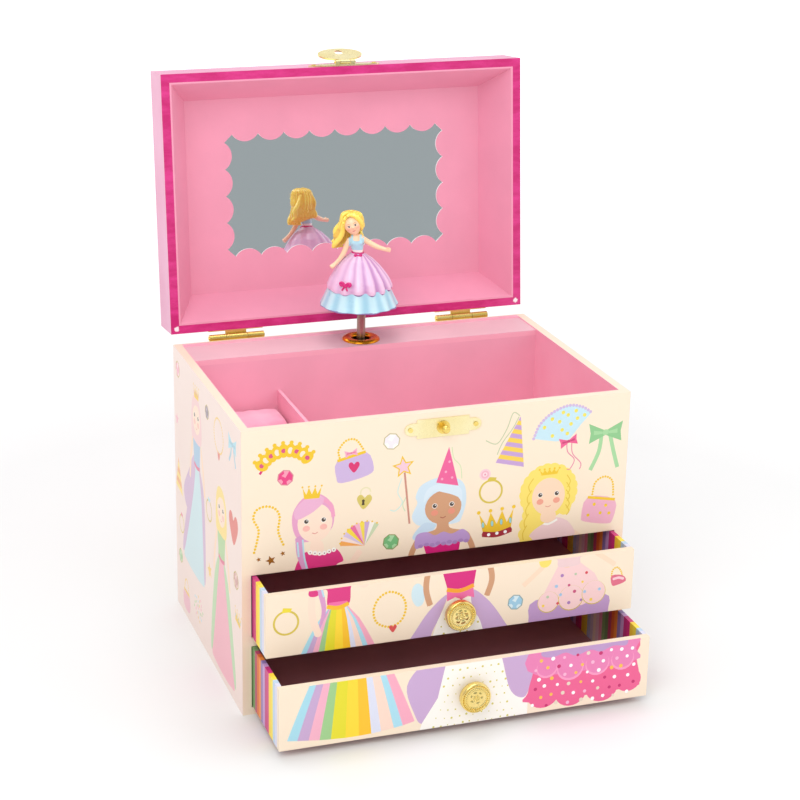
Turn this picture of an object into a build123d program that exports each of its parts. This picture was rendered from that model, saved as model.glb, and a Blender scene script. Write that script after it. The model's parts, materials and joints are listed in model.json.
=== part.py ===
from build123d import *
import os
from math import cos, radians, sin

# A lidded two-drawer jewellery box with a wind-up movement and a turning doll.
# Millimetres, +Z up, front towards -Y, origin at the centre of the box's bottom face.
# The model stands as it is used: lid open, drawers pulled, clasp flap folded back.

os.makedirs("parts", exist_ok=True)

# ---------------------------------------------------------------- driving sizes
box_width = 180.0
box_depth = 123.2
body_height = 133.5
board = 4.0                    # case and lid boards
base_thickness = 3.4
drawer_height = 29.0
drawer_gap = 0.4               # above and below a drawer
drawer_side_gap = 0.5
shelf_thickness = 4.0
tray_floor_thickness = 3.0

# lid
lid_height = 21.75
lid_seam = 0.25                # between the closed lid and the case rim
lid_panel_thickness = 1.5
lid_open_angle = 95.6
liner_thickness = 0.8
liner_taper_x = 10.2
liner_taper_y = 9.8
mat_thickness = 1.25
mirror_thickness = 0.8
mirror_border = 9.0            # mirror hidden behind the mat
mirror_fit = 0.25
scallop_pitch = 13.0
scallops_long = 8
scallops_short = 4
scallop_depth = 3.6
scallop_corner = 4.0
window_half_height = 29.8

# tray
divider_x = -45.2
divider_thickness = 1.6
divider_top = 115.0
pad_height = 20.0
pad_top = 108.2
pad_gap = 0.6
pad_rolls = 4
pad_slit = 1.2
ring_shelf_thickness = 1.5

# music compartment
music_depth = 21.6             # from the back board to the music wall's front
music_wall_thickness = 2.0
deck_thickness = 2.5
deck_drop = 0.5                # deck top below the case rim
figure_x = -1.0                # doll and winding arbor
grommet_radius = 9.15
grommet_hole_radius = 4.4
grommet_barrel_radius = 5.1
grommet_height = 1.5
grommet_tail = 0.8             # barrel below the deck
thin_fit = 0.05                # radial clearance of running fits

# drawers
drawer_wall = 2.0
drawer_front_thickness = 3.0
drawer_floor_thickness = 1.5
drawer_back_gap = 1.2
upper_pull = 21.5
lower_pull = 41.4
knob_radius = 7.0
knob_height = 6.0
knob_stem_radius = 2.6
knob_screw_radius = 1.0
knob_fit = 0.1
knob_x = 1.5
upper_knob_rise = 10.0         # knob centre above the drawer's bottom edge
lower_knob_rise = 14.0

# hinges
hinge_length = 27.0
hinge_offset_x = 58.0
hinge_set_back = 3.6
knuckle_radius = 1.75
knuckle_gap = 0.2
hinge_pin_radius = 0.8
leaf_thickness = 0.6
leaf_height = 9.0
nail_radius = 0.5
nail_head_radius = 1.1
nail_head_height = 0.4
nail_length = 2.6
nail_fit = 0.05

# clasp
clasp_length = 35.5
clasp_height = 8.6
clasp_plate_thickness = 0.6
clasp_x = 0.7
catch_z = 126.3
catch_knob_radius = 1.9
catch_knob_height = 3.2
flap_width = 22.0
flap_length = 15.0
flap_thickness = 0.7
flap_pin_radius = 0.45
flap_knuckle_radius = 1.0
flap_knuckle_length = 5.0
flap_hinge_height = 3.0        # above the lid's rim, lid closed
flap_hinge_stand = 1.75        # from the lid's front face to the pin
flap_back_angle = 160.0        # folded back from the latched place

# movement
movement_z = 98.0
bedplate_thickness = 1.4
barrel_radius = 15.0
barrel_depth = 5.0
barrel_wall = 1.2
barrel_to_bedplate = 0.6
crown_teeth = 40
crown_tooth_height = 0.9
crown_tooth_width = 0.75
crown_inner_radius = barrel_radius - 3.4
crown_outer_radius = barrel_radius - 0.6
pinion_teeth = 10
pinion_radius = 3.6
pinion_root_radius = 2.5
pinion_length = 2.2
mesh_depth = 0.6
spring_turns = 4
spring_strip = 0.4
arbor_radius = 1.6
arbor_hub_radius = 2.6
key_span = 22.0
key_stand_off = 2.0
drum_radius = 6.0
drum_length = 24.0
drum_arbor_radius = 0.9
drum_wheel_teeth = 24
drum_wheel_radius = 5.0
comb_notes = 18
pin_height = 0.4
comb_gap = 0.55
worm_radius = 1.35
worm_core_radius = 0.8
worm_pitch = 1.3
fan_radius = 4.2
fan_height = 2.0

# doll
spindle_radius = 2.05
hem_height = 15.3              # hem above the deck
petticoat_radius = 18.7
petticoat_height = 9.5
overskirt_radius = 16.4
waist_height = 40.5            # waist above the deck
waist_radius = 3.2
head_height = 55.0             # head centre above the deck
head_radius = 4.6
doll_turn = -18.5
fold_forward = 3.8             # folding axis in front of the spindle
fold_height = 2.0              # folding axis above the deck

# ---------------------------------------------------------------- planes and places worked out
half_width = box_width / 2
half_depth = box_depth / 2
inner_x = half_width - board
inner_y = half_depth - board
lower_drawer_bottom = base_thickness + drawer_gap
shelf_bottom = lower_drawer_bottom + drawer_height + drawer_gap
shelf_top = shelf_bottom + shelf_thickness
upper_drawer_bottom = shelf_top + drawer_gap
tray_bottom = upper_drawer_bottom + drawer_height + drawer_gap
tray_top = tray_bottom + tray_floor_thickness
deck_top = body_height - deck_drop
deck_bottom = deck_top - deck_thickness
lid_rim = body_height + lid_seam
hinge_y = half_depth + hinge_set_back
hinge_z = body_height + lid_seam / 2
hinge_axis = Axis((0, hinge_y, hinge_z), (1, 0, 0))
mat_face = lid_height - lid_panel_thickness - mat_thickness
music_wall_front = inner_y - music_depth
bed_front = inner_y - bedplate_thickness
barrel_back = bed_front - barrel_to_bedplate
barrel_front = barrel_back - barrel_depth
crown_tip = barrel_front - crown_tooth_height
train_y = crown_tip + mesh_depth - pinion_radius
figure_y = train_y             # the doll turns on the axis of the crown wheel's pinion
music_wall_back = music_wall_front + music_wall_thickness
hem_z = deck_top + hem_height


def save(piece, label):
    piece.part.label = label
    export_step(piece.part, f"parts/{label}.step")


def opened(piece):
    """Swing a lid piece, modelled closed, to the lid's open place."""
    piece.part = piece.part.rotate(hinge_axis, -lid_open_angle)


def board_box(x, y, z):
    """A plain board between two x, two y and two z values."""
    with BuildPart() as made:
        with BuildSketch(Plane.XY.offset(z[0])):
            with Locations(((x[0] + x[1]) / 2, (y[0] + y[1]) / 2)):
                Rectangle(x[1] - x[0], y[1] - y[0])
        extrude(amount=z[1] - z[0])
    return made


def front_plane(x, y, z):
    """A plane that looks to the front: its x is +X, its y is +Z, and it grows towards -Y."""
    return Plane(origin=(x, y, z), x_dir=(1, 0, 0), z_dir=(0, -1, 0))


def back_plane(x, y, z):
    """A plane that looks to the back: its x is -X, its y is +Z, and it grows towards +Y."""
    return Plane(origin=(x, y, z), x_dir=(-1, 0, 0), z_dir=(0, 1, 0))


def side_plane(x, y, z):
    """A plane that looks to the right: its x is +Y, its y is +Z, and it grows towards +X."""
    return Plane(origin=(x, y, z), x_dir=(0, 1, 0), z_dir=(1, 0, 0))


def nails(plane, places):
    """Small round-headed nails: heads stand on the plane, shanks go back from it."""
    with BuildPart() as made:
        with BuildSketch(plane):
            with Locations(places):
                Circle(nail_head_radius)
        extrude(amount=nail_head_height)
        with BuildSketch(plane):
            with Locations(places):
                Circle(nail_radius)
        extrude(amount=-nail_length)
    return made


def nail_holes(plane, places, depth):
    """The holes that nails go through, as a solid to take away."""
    with BuildPart() as made:
        with BuildSketch(plane):
            with Locations(places):
                Circle(nail_radius + nail_fit)
        extrude(amount=-depth)
    return made


# ---------------------------------------------------------------- places of the nails
leaf_nail_x = hinge_length / 2 - 5
leaf_nail_z = leaf_height / 2
clasp_nail_x = clasp_length / 2 - 2.6
case_leaf_top = hinge_z - knuckle_radius + leaf_thickness
lid_leaf_bottom = hinge_z + knuckle_radius - leaf_thickness
hinge_centres = (-hinge_offset_x, hinge_offset_x)
case_leaf_face = back_plane(0, half_depth + leaf_thickness, case_leaf_top)
lid_leaf_face = back_plane(0, half_depth + leaf_thickness, lid_leaf_bottom)
case_leaf_nails = [(cx + dx, -leaf_nail_z) for cx in hinge_centres for dx in (-leaf_nail_x, leaf_nail_x)]
lid_leaf_nails = [(cx + dx, leaf_nail_z) for cx in hinge_centres for dx in (-leaf_nail_x, leaf_nail_x)]
catch_face = front_plane(clasp_x, -half_depth - clasp_plate_thickness, catch_z)
clasp_z = lid_rim + clasp_height / 2 + 0.4
clasp_face = front_plane(clasp_x, -half_depth - clasp_plate_thickness, clasp_z)
clasp_nails_at = [(-clasp_nail_x, 0), (clasp_nail_x, 0)]
hole_depth = nail_length + 0.3

# ---------------------------------------------------------------- case boards
base_board = board_box((-inner_x, inner_x), (-half_depth, inner_y), (0, base_thickness))
save(base_board, "base_board")
left_side_board = board_box((-half_width, -inner_x), (-half_depth, half_depth), (0, body_height))
save(left_side_board, "left_side_board")
right_side_board = board_box((inner_x, half_width), (-half_depth, half_depth), (0, body_height))
save(right_side_board, "right_side_board")
drawer_shelf = board_box((-inner_x, inner_x), (-half_depth, inner_y), (shelf_bottom, shelf_top))
save(drawer_shelf, "drawer_shelf")
tray_floor = board_box((-inner_x, inner_x), (-inner_y, inner_y), (tray_bottom, tray_top))
save(tray_floor, "tray_floor")

stem_hole_radius = 0.8 + nail_fit
with BuildPart() as front_board:
    add(board_box((-inner_x, inner_x), (-half_depth, -inner_y), (tray_bottom, body_height)).part)
    add(nail_holes(catch_face, clasp_nails_at, hole_depth).part, mode=Mode.SUBTRACT)
    with BuildSketch(catch_face):
        Circle(stem_hole_radius)
    extrude(amount=-hole_depth, mode=Mode.SUBTRACT)
save(front_board, "front_board")

movement_screw_radius = 1.25
movement_screws_at = [(-32, 18), (-11, -20), (12, -20)]
key_hole_radius = 4.5
with BuildPart() as back_board:
    add(board_box((-inner_x, inner_x), (inner_y, half_depth), (0, body_height)).part)
    add(nail_holes(case_leaf_face, case_leaf_nails, hole_depth).part, mode=Mode.SUBTRACT)
    with BuildSketch(front_plane(figure_x, half_depth, movement_z)):
        Circle(key_hole_radius)
        with Locations(movement_screws_at):
            Circle(movement_screw_radius + nail_fit)
    extrude(amount=board, mode=Mode.SUBTRACT)
save(back_board, "back_board")

# ---------------------------------------------------------------- jewellery tray
divider_left = divider_x - divider_thickness / 2
divider_right = divider_x + divider_thickness / 2
tray_divider = board_box((divider_left, divider_right), (-inner_y, music_wall_front), (tray_top, divider_top))
save(tray_divider, "tray_divider")

pad_bottom = pad_top - pad_height
ring_shelf_width = divider_left + inner_x
with BuildPart() as ring_shelf:
    with BuildSketch(front_plane(-inner_x, music_wall_front, tray_top)):
        with Locations((ring_shelf_width / 2, (pad_bottom - tray_top) / 2)):
            Rectangle(ring_shelf_width, pad_bottom - tray_top)
        with Locations((ring_shelf_width / 2, (pad_bottom - tray_top - ring_shelf_thickness) / 2)):
            Rectangle(ring_shelf_width - 2 * ring_shelf_thickness,
                      pad_bottom - tray_top - ring_shelf_thickness, mode=Mode.SUBTRACT)
    extrude(amount=music_wall_front + inner_y)
save(ring_shelf, "ring_shelf")

pad_front = -inner_y + pad_gap
pad_back = music_wall_front - pad_gap
roll_pitch = (pad_back - pad_front) / pad_rolls
with BuildPart() as ring_pad:
    add(board_box((-inner_x + pad_gap, divider_left - pad_gap), (pad_front, pad_back), (pad_bottom, pad_top)).part)
    for roll in range(1, pad_rolls):
        slit_y = pad_front + roll * roll_pitch
        add(board_box((-half_width, 0), (slit_y - pad_slit / 2, slit_y + pad_slit / 2),
                      (pad_bottom + pad_height / 3, body_height)).part, mode=Mode.SUBTRACT)
save(ring_pad, "ring_pad")

# ---------------------------------------------------------------- music wall, deck and grommet
music_wall = board_box((-inner_x, inner_x), (music_wall_front, music_wall_back), (tray_top, deck_bottom))
save(music_wall, "music_wall")

with BuildPart() as music_deck:
    add(board_box((-inner_x, inner_x), (music_wall_front, inner_y), (deck_bottom, deck_top)).part)
    with BuildSketch(Plane.XY.offset(deck_bottom)):
        with Locations((figure_x, figure_y)):
            Circle(grommet_barrel_radius + thin_fit)
    extrude(amount=deck_thickness, mode=Mode.SUBTRACT)
save(music_deck, "music_deck")

with BuildPart() as grommet:
    with BuildSketch(Plane.XY.offset(deck_top)):
        with Locations((figure_x, figure_y)):
            Circle(grommet_radius)
    extrude(amount=grommet_height)
    fillet(grommet.edges().group_by(Axis.Z)[-1], grommet_height * 0.8)
    with BuildSketch(Plane.XY.offset(deck_bottom - grommet_tail)):
        with Locations((figure_x, figure_y)):
            Circle(grommet_barrel_radius)
    extrude(amount=deck_thickness + grommet_tail)
    with BuildSketch(Plane.XY.offset(deck_bottom - grommet_tail)):
        with Locations((figure_x, figure_y)):
            Circle(grommet_hole_radius)
    extrude(amount=deck_thickness + grommet_tail + grommet_height, mode=Mode.SUBTRACT)
save(grommet, "grommet")

# ---------------------------------------------------------------- hinges
outer_knuckle = hinge_length * 0.3
pin_overhang = 0.4


def hinge_leaf(cx, knuckles, web_bottom, plate_from, plate_to, nail_face, nail_row):
    """A leaf flat on the back, a web out to the pin and its knuckles; knuckles are (start, length) along X."""
    with BuildPart() as made:
        with BuildSketch(side_plane(cx - hinge_length / 2, 0, 0)):
            with Locations((half_depth + leaf_thickness / 2, (plate_from + plate_to) / 2)):
                Rectangle(leaf_thickness, abs(plate_to - plate_from))
        extrude(amount=hinge_length)
        for start, length in knuckles:
            with BuildSketch(side_plane(cx + start, 0, 0)):
                with Locations((half_depth + hinge_set_back / 2, web_bottom + leaf_thickness / 2)):
                    Rectangle(hinge_set_back, leaf_thickness)
                with Locations((hinge_y, hinge_z)):
                    Circle(knuckle_radius)
                    Circle(hinge_pin_radius + thin_fit, mode=Mode.SUBTRACT)
            extrude(amount=length)
        add(nail_holes(nail_face, nail_row, leaf_thickness).part, mode=Mode.SUBTRACT)
    return made


for side, cx in (("left", -hinge_offset_x), ("right", hinge_offset_x)):
    case_knuckles = [(-hinge_length / 2, outer_knuckle), (hinge_length / 2 - outer_knuckle, outer_knuckle)]
    case_leaf = hinge_leaf(cx, case_knuckles, hinge_z - knuckle_radius, case_leaf_top - leaf_height,
                           case_leaf_top, case_leaf_face, case_leaf_nails)
    save(case_leaf, f"{side}_hinge_case_leaf")
    lid_knuckle = (-hinge_length / 2 + outer_knuckle + knuckle_gap,
                   hinge_length - 2 * outer_knuckle - 2 * knuckle_gap)
    lid_leaf = hinge_leaf(cx, [lid_knuckle], lid_leaf_bottom, lid_leaf_bottom,
                          lid_leaf_bottom + leaf_height, lid_leaf_face, lid_leaf_nails)
    opened(lid_leaf)
    save(lid_leaf, f"{side}_hinge_lid_leaf")

with BuildPart() as hinge_pins:
    for cx in hinge_centres:
        with BuildSketch(side_plane(cx - hinge_length / 2 - pin_overhang, hinge_y, hinge_z)):
            Circle(hinge_pin_radius)
        extrude(amount=hinge_length + 2 * pin_overhang)
save(hinge_pins, "hinge_pins")

with BuildPart() as case_nails:
    add(nails(case_leaf_face, case_leaf_nails).part)
    add(nails(catch_face, clasp_nails_at).part)
save(case_nails, "case_nails")
with BuildPart() as lid_nails:
    add(nails(lid_leaf_face, lid_leaf_nails).part)
    add(nails(clasp_face, clasp_nails_at).part)
opened(lid_nails)
save(lid_nails, "lid_nails")

# ---------------------------------------------------------------- lid
with BuildPart() as lid_frame:
    with BuildSketch(Plane.XY.offset(lid_rim)):
        Rectangle(box_width, box_depth)
        Rectangle(2 * inner_x, 2 * inner_y, mode=Mode.SUBTRACT)
    extrude(amount=lid_height - lid_panel_thickness)
    add(nail_holes(lid_leaf_face, lid_leaf_nails, hole_depth).part, mode=Mode.SUBTRACT)
    add(nail_holes(clasp_face, clasp_nails_at, hole_depth).part, mode=Mode.SUBTRACT)
opened(lid_frame)
save(lid_frame, "lid_frame")

lid_panel = board_box((-half_width, half_width), (-half_depth, half_depth),
                      (lid_rim + lid_height - lid_panel_thickness, lid_rim + lid_height))
opened(lid_panel)
save(lid_panel, "lid_panel")

with BuildPart() as lid_liner:
    with BuildSketch(Plane.XY.offset(lid_rim)):
        Rectangle(2 * inner_x, 2 * inner_y)
    with BuildSketch(Plane.XY.offset(lid_rim + mat_face)):
        Rectangle(2 * (inner_x - liner_taper_x), 2 * (inner_y - liner_taper_y))
    loft()
    with BuildSketch(Plane.XY.offset(lid_rim)):
        Rectangle(2 * (inner_x - liner_thickness), 2 * (inner_y - liner_thickness))
    with BuildSketch(Plane.XY.offset(lid_rim + mat_face)):
        Rectangle(2 * (inner_x - liner_taper_x - liner_thickness), 2 * (inner_y - liner_taper_y - liner_thickness))
    loft(mode=Mode.SUBTRACT)
opened(lid_liner)
save(lid_liner, "lid_liner")

window_half_width = scallop_pitch * scallops_long / 2
window_side_x = window_half_width + scallop_corner
window_side_y = scallop_pitch * scallops_short / 2


def scalloped_edge(start, step, inward, count):
    """A row of arcs from a start point, each one step long and bulging inward."""
    for index in range(count):
        a = (start[0] + step[0] * index, start[1] + step[1] * index)
        b = (a[0] + step[0], a[1] + step[1])
        middle = ((a[0] + b[0]) / 2 + inward[0] * scallop_depth, (a[1] + b[1]) / 2 + inward[1] * scallop_depth)
        ThreePointArc(a, middle, b)


with BuildPart() as mirror_mat:
    with BuildSketch(Plane.XY.offset(lid_rim + mat_face)):
        Rectangle(2 * (inner_x - mirror_fit), 2 * (inner_y - mirror_fit))
    extrude(amount=mat_thickness)
    with BuildSketch(Plane.XY.offset(lid_rim + mat_face + mat_thickness - mirror_thickness)):
        Rectangle(2 * (window_half_width + mirror_border + mirror_fit),
                  2 * (window_half_height + mirror_border + mirror_fit))
    extrude(amount=mirror_thickness, mode=Mode.SUBTRACT)
    with BuildSketch(Plane.XY.offset(lid_rim + mat_face)):
        with BuildLine():
            scalloped_edge((-window_half_width, window_half_height), (scallop_pitch, 0), (0, -1), scallops_long)
            Line((window_half_width, window_half_height), (window_side_x, window_side_y))
            scalloped_edge((window_side_x, window_side_y), (0, -scallop_pitch), (-1, 0), scallops_short)
            Line((window_side_x, -window_side_y), (window_half_width, -window_half_height))
            scalloped_edge((window_half_width, -window_half_height), (-scallop_pitch, 0), (0, 1), scallops_long)
            Line((-window_half_width, -window_half_height), (-window_side_x, -window_side_y))
            scalloped_edge((-window_side_x, -window_side_y), (0, scallop_pitch), (1, 0), scallops_short)
            Line((-window_side_x, window_side_y), (-window_half_width, window_half_height))
        make_face()
    extrude(amount=mat_thickness, mode=Mode.SUBTRACT)
opened(mirror_mat)
save(mirror_mat, "mirror_mat")

with BuildPart() as mirror:
    with BuildSketch(Plane.XY.offset(lid_rim + mat_face + mat_thickness - mirror_thickness)):
        Rectangle(2 * (window_half_width + mirror_border), 2 * (window_half_height + mirror_border))
    extrude(amount=mirror_thickness)
opened(mirror)
save(mirror, "mirror")

# ---------------------------------------------------------------- clasp
clasp_body_length = clasp_length * 0.68
clasp_ear_length = clasp_length * 0.86
clasp_ear_height = clasp_height * 0.66
clasp_lobe_radius = clasp_height * 0.3
knob_flange_radius = 3.0
knob_flange_height = 0.4
knob_neck_radius = 1.1
flap_y = -half_depth - flap_hinge_stand
flap_z = lid_rim + flap_hinge_height
flap_axis = Axis((0, flap_y, flap_z), (1, 0, 0))
flap_gap = 0.2


def clasp_plate_on(plane):
    """The brass plate with waisted ends that both halves of the clasp have, laid back from the plane."""
    with BuildPart() as made:
        with BuildSketch(plane):
            Rectangle(clasp_body_length, clasp_height)
            Rectangle(clasp_ear_length, clasp_ear_height)
            with Locations(((clasp_length / 2 - clasp_lobe_radius, 0), (-clasp_length / 2 + clasp_lobe_radius, 0))):
                Circle(clasp_lobe_radius)
        extrude(amount=-clasp_plate_thickness)
        add(nail_holes(plane, clasp_nails_at, clasp_plate_thickness).part, mode=Mode.SUBTRACT)
    return made


with BuildPart() as catch_plate:
    add(clasp_plate_on(catch_face).part)
    with BuildSketch(catch_face):
        Circle(stem_hole_radius)
    extrude(amount=-clasp_plate_thickness, mode=Mode.SUBTRACT)
save(catch_plate, "catch_plate")

with BuildPart() as catch_knob:
    with BuildSketch(catch_face):
        Circle(knob_flange_radius)
    extrude(amount=knob_flange_height)
    with BuildSketch(catch_face):
        Circle(knob_neck_radius)
    extrude(amount=catch_knob_height)
    with BuildSketch(catch_face):
        Circle(stem_hole_radius - nail_fit)
    extrude(amount=-nail_length)
    with Locations(catch_face.offset(catch_knob_height)):
        Sphere(catch_knob_radius)
    with Locations(catch_face.offset(catch_knob_height + catch_knob_radius * 0.75)):
        Box(3 * catch_knob_radius, 3 * catch_knob_radius, catch_knob_radius,
            align=(Align.CENTER, Align.CENTER, Align.MIN), mode=Mode.SUBTRACT)
save(catch_knob, "catch_knob")

flap_pin_hole = flap_pin_radius + thin_fit
plate_knuckles = ((-flap_knuckle_length / 2 - flap_gap - 2.2, 2.2), (flap_knuckle_length / 2 + flap_gap, 2.2))
with BuildPart() as clasp_plate:
    add(clasp_plate_on(clasp_face).part)
    for start, length in plate_knuckles:
        with BuildSketch(side_plane(clasp_x + start, flap_y, flap_z)):
            with Locations((flap_hinge_stand / 2 - clasp_plate_thickness / 2, -flap_knuckle_radius + 0.3)):
                Rectangle(flap_hinge_stand - clasp_plate_thickness, 0.6)
            Circle(flap_knuckle_radius)
            Circle(flap_pin_hole, mode=Mode.SUBTRACT)
        extrude(amount=length)
opened(clasp_plate)
save(clasp_plate, "clasp_plate")

with BuildPart() as clasp_pin:
    with BuildSketch(side_plane(clasp_x - flap_knuckle_length / 2 - 2.8, flap_y, flap_z)):
        Circle(flap_pin_radius)
    extrude(amount=flap_knuckle_length + 5.6)
opened(clasp_pin)
save(clasp_pin, "clasp_pin")

flap_eye_z = flap_z - catch_z
with BuildPart() as clasp_flap:
    with BuildSketch(front_plane(clasp_x, flap_y + flap_thickness / 2, flap_z)):
        with Locations((0, -flap_length + flap_length * 0.43)):
            Ellipse(flap_width / 2, flap_length * 0.43)
        with Locations((0, -flap_length * 0.15 - flap_knuckle_radius / 2)):
            Rectangle(flap_knuckle_length, flap_length * 0.3)
        with Locations((0, -flap_eye_z)):
            Circle(catch_knob_radius + 0.25, mode=Mode.SUBTRACT)
    extrude(amount=flap_thickness)
    with BuildSketch(side_plane(clasp_x - flap_knuckle_length / 2, flap_y, flap_z)):
        Circle(flap_knuckle_radius)
    extrude(amount=flap_knuckle_length)
    with BuildSketch(side_plane(clasp_x - flap_knuckle_length / 2, flap_y, flap_z)):
        Circle(flap_pin_hole)
    extrude(amount=flap_knuckle_length, mode=Mode.SUBTRACT)
clasp_flap.part = clasp_flap.part.rotate(flap_axis, -flap_back_angle)
opened(clasp_flap)
save(clasp_flap, "clasp_flap")

# ---------------------------------------------------------------- drawers
drawer_half_width = inner_x - drawer_side_gap
drawer_depth = half_depth + inner_y - drawer_back_gap
screw_head_radius = 2.0
screw_head_height = 1.2
knob_hole_depth = 4.0


def make_drawer(name, bottom, pull, knob_rise):
    """Front board, side-and-back wall, floor, knob and knob screw of a drawer pulled out by pull."""
    front = -half_depth - pull
    wall_start = front + drawer_front_thickness
    back = front + drawer_depth
    knob_plane = front_plane(knob_x, front, bottom + knob_rise)
    with BuildPart() as drawer_front:
        add(board_box((-drawer_half_width, drawer_half_width), (front, wall_start),
                      (bottom, bottom + drawer_height)).part)
        with BuildSketch(knob_plane):
            Circle(knob_screw_radius + knob_fit)
        extrude(amount=-drawer_front_thickness, mode=Mode.SUBTRACT)
    save(drawer_front, f"{name}_front")
    inner_half = drawer_half_width - drawer_wall
    with BuildPart() as drawer_sides:
        add(board_box((-drawer_half_width, drawer_half_width), (wall_start, back),
                      (bottom, bottom + drawer_height)).part)
        add(board_box((-inner_half, inner_half), (wall_start, back - drawer_wall),
                      (bottom, bottom + drawer_height)).part, mode=Mode.SUBTRACT)
    save(drawer_sides, f"{name}_sides")
    drawer_floor = board_box((-inner_half, inner_half), (wall_start, back - drawer_wall),
                             (bottom, bottom + drawer_floor_thickness))
    save(drawer_floor, f"{name}_floor")
    with BuildPart() as drawer_knob:
        with BuildSketch(knob_plane):
            Circle(knob_stem_radius)
        extrude(amount=knob_height / 2)
        with BuildSketch(knob_plane.offset(knob_height / 3)):
            Circle(knob_radius)
        extrude(amount=knob_height * 2 / 3)
        fillet(drawer_knob.edges().group_by(Axis.Y)[0], knob_height / 3)
        with BuildSketch(knob_plane):
            Circle(knob_screw_radius + knob_fit)
        extrude(amount=knob_hole_depth, mode=Mode.SUBTRACT)
    save(drawer_knob, f"{name}_knob")
    with BuildPart() as knob_screw:
        with BuildSketch(knob_plane.offset(-drawer_front_thickness - screw_head_height)):
            Circle(screw_head_radius)
        extrude(amount=screw_head_height)
        with BuildSketch(knob_plane.offset(-drawer_front_thickness)):
            Circle(knob_screw_radius)
        extrude(amount=drawer_front_thickness + knob_hole_depth - knob_fit)
    save(knob_screw, f"{name}_knob_screw")


make_drawer("upper_drawer", upper_drawer_bottom, upper_pull, upper_knob_rise)
make_drawer("lower_drawer", lower_drawer_bottom, lower_pull, lower_knob_rise)

# ---------------------------------------------------------------- movement
bearing_fit = drum_arbor_radius + thin_fit
crown_middle = (crown_inner_radius + crown_outer_radius) / 2
drum_start = -crown_outer_radius - 2.8          # drum end next to the barrel, from the arbor line
drum_end = drum_start - drum_length
tab_thickness = 1.0
tab_gap = 0.6
near_tab = drum_start + tab_gap
far_tab = drum_end - tab_gap - tab_thickness
wheel_thickness = 1.4
wheel_x = far_tab - tab_gap - wheel_thickness
tab_reach = 2.4                                 # tab past the drum's axis
tab_half_height = 3.5
bed_left = wheel_x - 2.0
bed_right = barrel_radius + 2.0
bed_bottom = -25.0
bed_top = 24.0
comb_back = 0.8                                 # comb plate's back, behind the drum's axis
comb_thickness = 1.2
comb_tooth_thickness = 0.6
comb_heel_height = 6.0
comb_tip = -drum_radius - comb_gap
comb_heel_top = comb_tip - 11.0
comb_pitch = drum_length / comb_notes
comb_slit = 0.26
comb_screw_radius = 0.9
comb_screw_spacing = 14.0
comb_middle = (drum_start + drum_end) / 2
worm_x = wheel_x + wheel_thickness / 2
worm_z = movement_z + drum_wheel_radius + worm_radius + 0.15
fan_front = music_wall_back + 0.9
fan_back = fan_front + fan_height
worm_shaft_radius = 0.5
worm_half_length = 3.2
bracket_sheet = 0.9
bracket_front = fan_back + 0.5
bracket_half_width = 4.2
spindle_shaft_radius = 1.3
pinion_top = movement_z + crown_middle + pinion_length / 2
pinion_bottom = pinion_top - pinion_length
bracket_lower = pinion_bottom - 1.2 - bracket_sheet
bracket_upper = pinion_top + 1.2
spring_bottom = deck_bottom - 3.5
spring_top = deck_top - 1.5
cup_height = 6.0
movement_screw_head = 2.3

with BuildPart() as bedplate:
    with BuildSketch(front_plane(figure_x, inner_y, movement_z)):
        with Locations(((bed_left + bed_right) / 2, (bed_bottom + bed_top) / 2)):
            Rectangle(bed_right - bed_left, bed_top - bed_bottom)
        Circle(arbor_radius + thin_fit, mode=Mode.SUBTRACT)
        with Locations(movement_screws_at):
            Circle(movement_screw_radius + nail_fit, mode=Mode.SUBTRACT)
        with Locations((worm_x, worm_z - movement_z)):
            Circle(worm_shaft_radius + thin_fit, mode=Mode.SUBTRACT)
    extrude(amount=bedplate_thickness)
    for tab_x in (near_tab, far_tab):
        with BuildSketch(side_plane(figure_x + tab_x, 0, movement_z)):
            with Locations(((train_y - tab_reach + bed_front) / 2, 0)):
                Rectangle(bed_front - train_y + tab_reach, 2 * tab_half_height)
            with Locations((train_y, 0)):
                Circle(bearing_fit, mode=Mode.SUBTRACT)
        extrude(amount=tab_thickness)
    with BuildSketch(front_plane(figure_x, bed_front, movement_z)):
        with Locations((comb_middle, comb_heel_top - comb_heel_height / 2)):
            Rectangle(drum_length, comb_heel_height)
        with Locations([(comb_middle + dx, comb_heel_top - comb_heel_height / 2)
                        for dx in (-comb_screw_spacing / 2, comb_screw_spacing / 2)]):
            Circle(comb_screw_radius + nail_fit, mode=Mode.SUBTRACT)
    extrude(amount=bed_front - train_y - comb_back)
save(bedplate, "bedplate")

with BuildPart() as comb:
    with BuildSketch(front_plane(figure_x, train_y + comb_back, movement_z)):
        with Locations((comb_middle, comb_heel_top - comb_heel_height / 2)):
            Rectangle(drum_length, comb_heel_height)
        with Locations([(comb_middle + dx, comb_heel_top - comb_heel_height / 2)
                        for dx in (-comb_screw_spacing / 2, comb_screw_spacing / 2)]):
            Circle(comb_screw_radius + nail_fit, mode=Mode.SUBTRACT)
    extrude(amount=comb_thickness)
    with BuildSketch(front_plane(figure_x, train_y + comb_tooth_thickness / 2, movement_z)):
        for note in range(comb_notes):
            tooth_x = drum_start - (note + 0.5) * comb_pitch
            with Locations((tooth_x, (comb_heel_top + comb_tip) / 2)):
                Rectangle(comb_pitch - comb_slit, comb_tip - comb_heel_top)
    extrude(amount=comb_tooth_thickness)
save(comb, "comb")

with BuildPart() as comb_screws:
    for dx in (-comb_screw_spacing / 2, comb_screw_spacing / 2):
        screw_plane = front_plane(figure_x + comb_middle + dx, train_y + comb_back - comb_thickness,
                                  movement_z + comb_heel_top - comb_heel_height / 2)
        with BuildSketch(screw_plane):
            Circle(2 * comb_screw_radius)
        extrude(amount=comb_screw_radius)
        with BuildSketch(screw_plane):
            Circle(comb_screw_radius)
        extrude(amount=-comb_thickness - 4)
save(comb_screws, "comb_screws")

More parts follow.
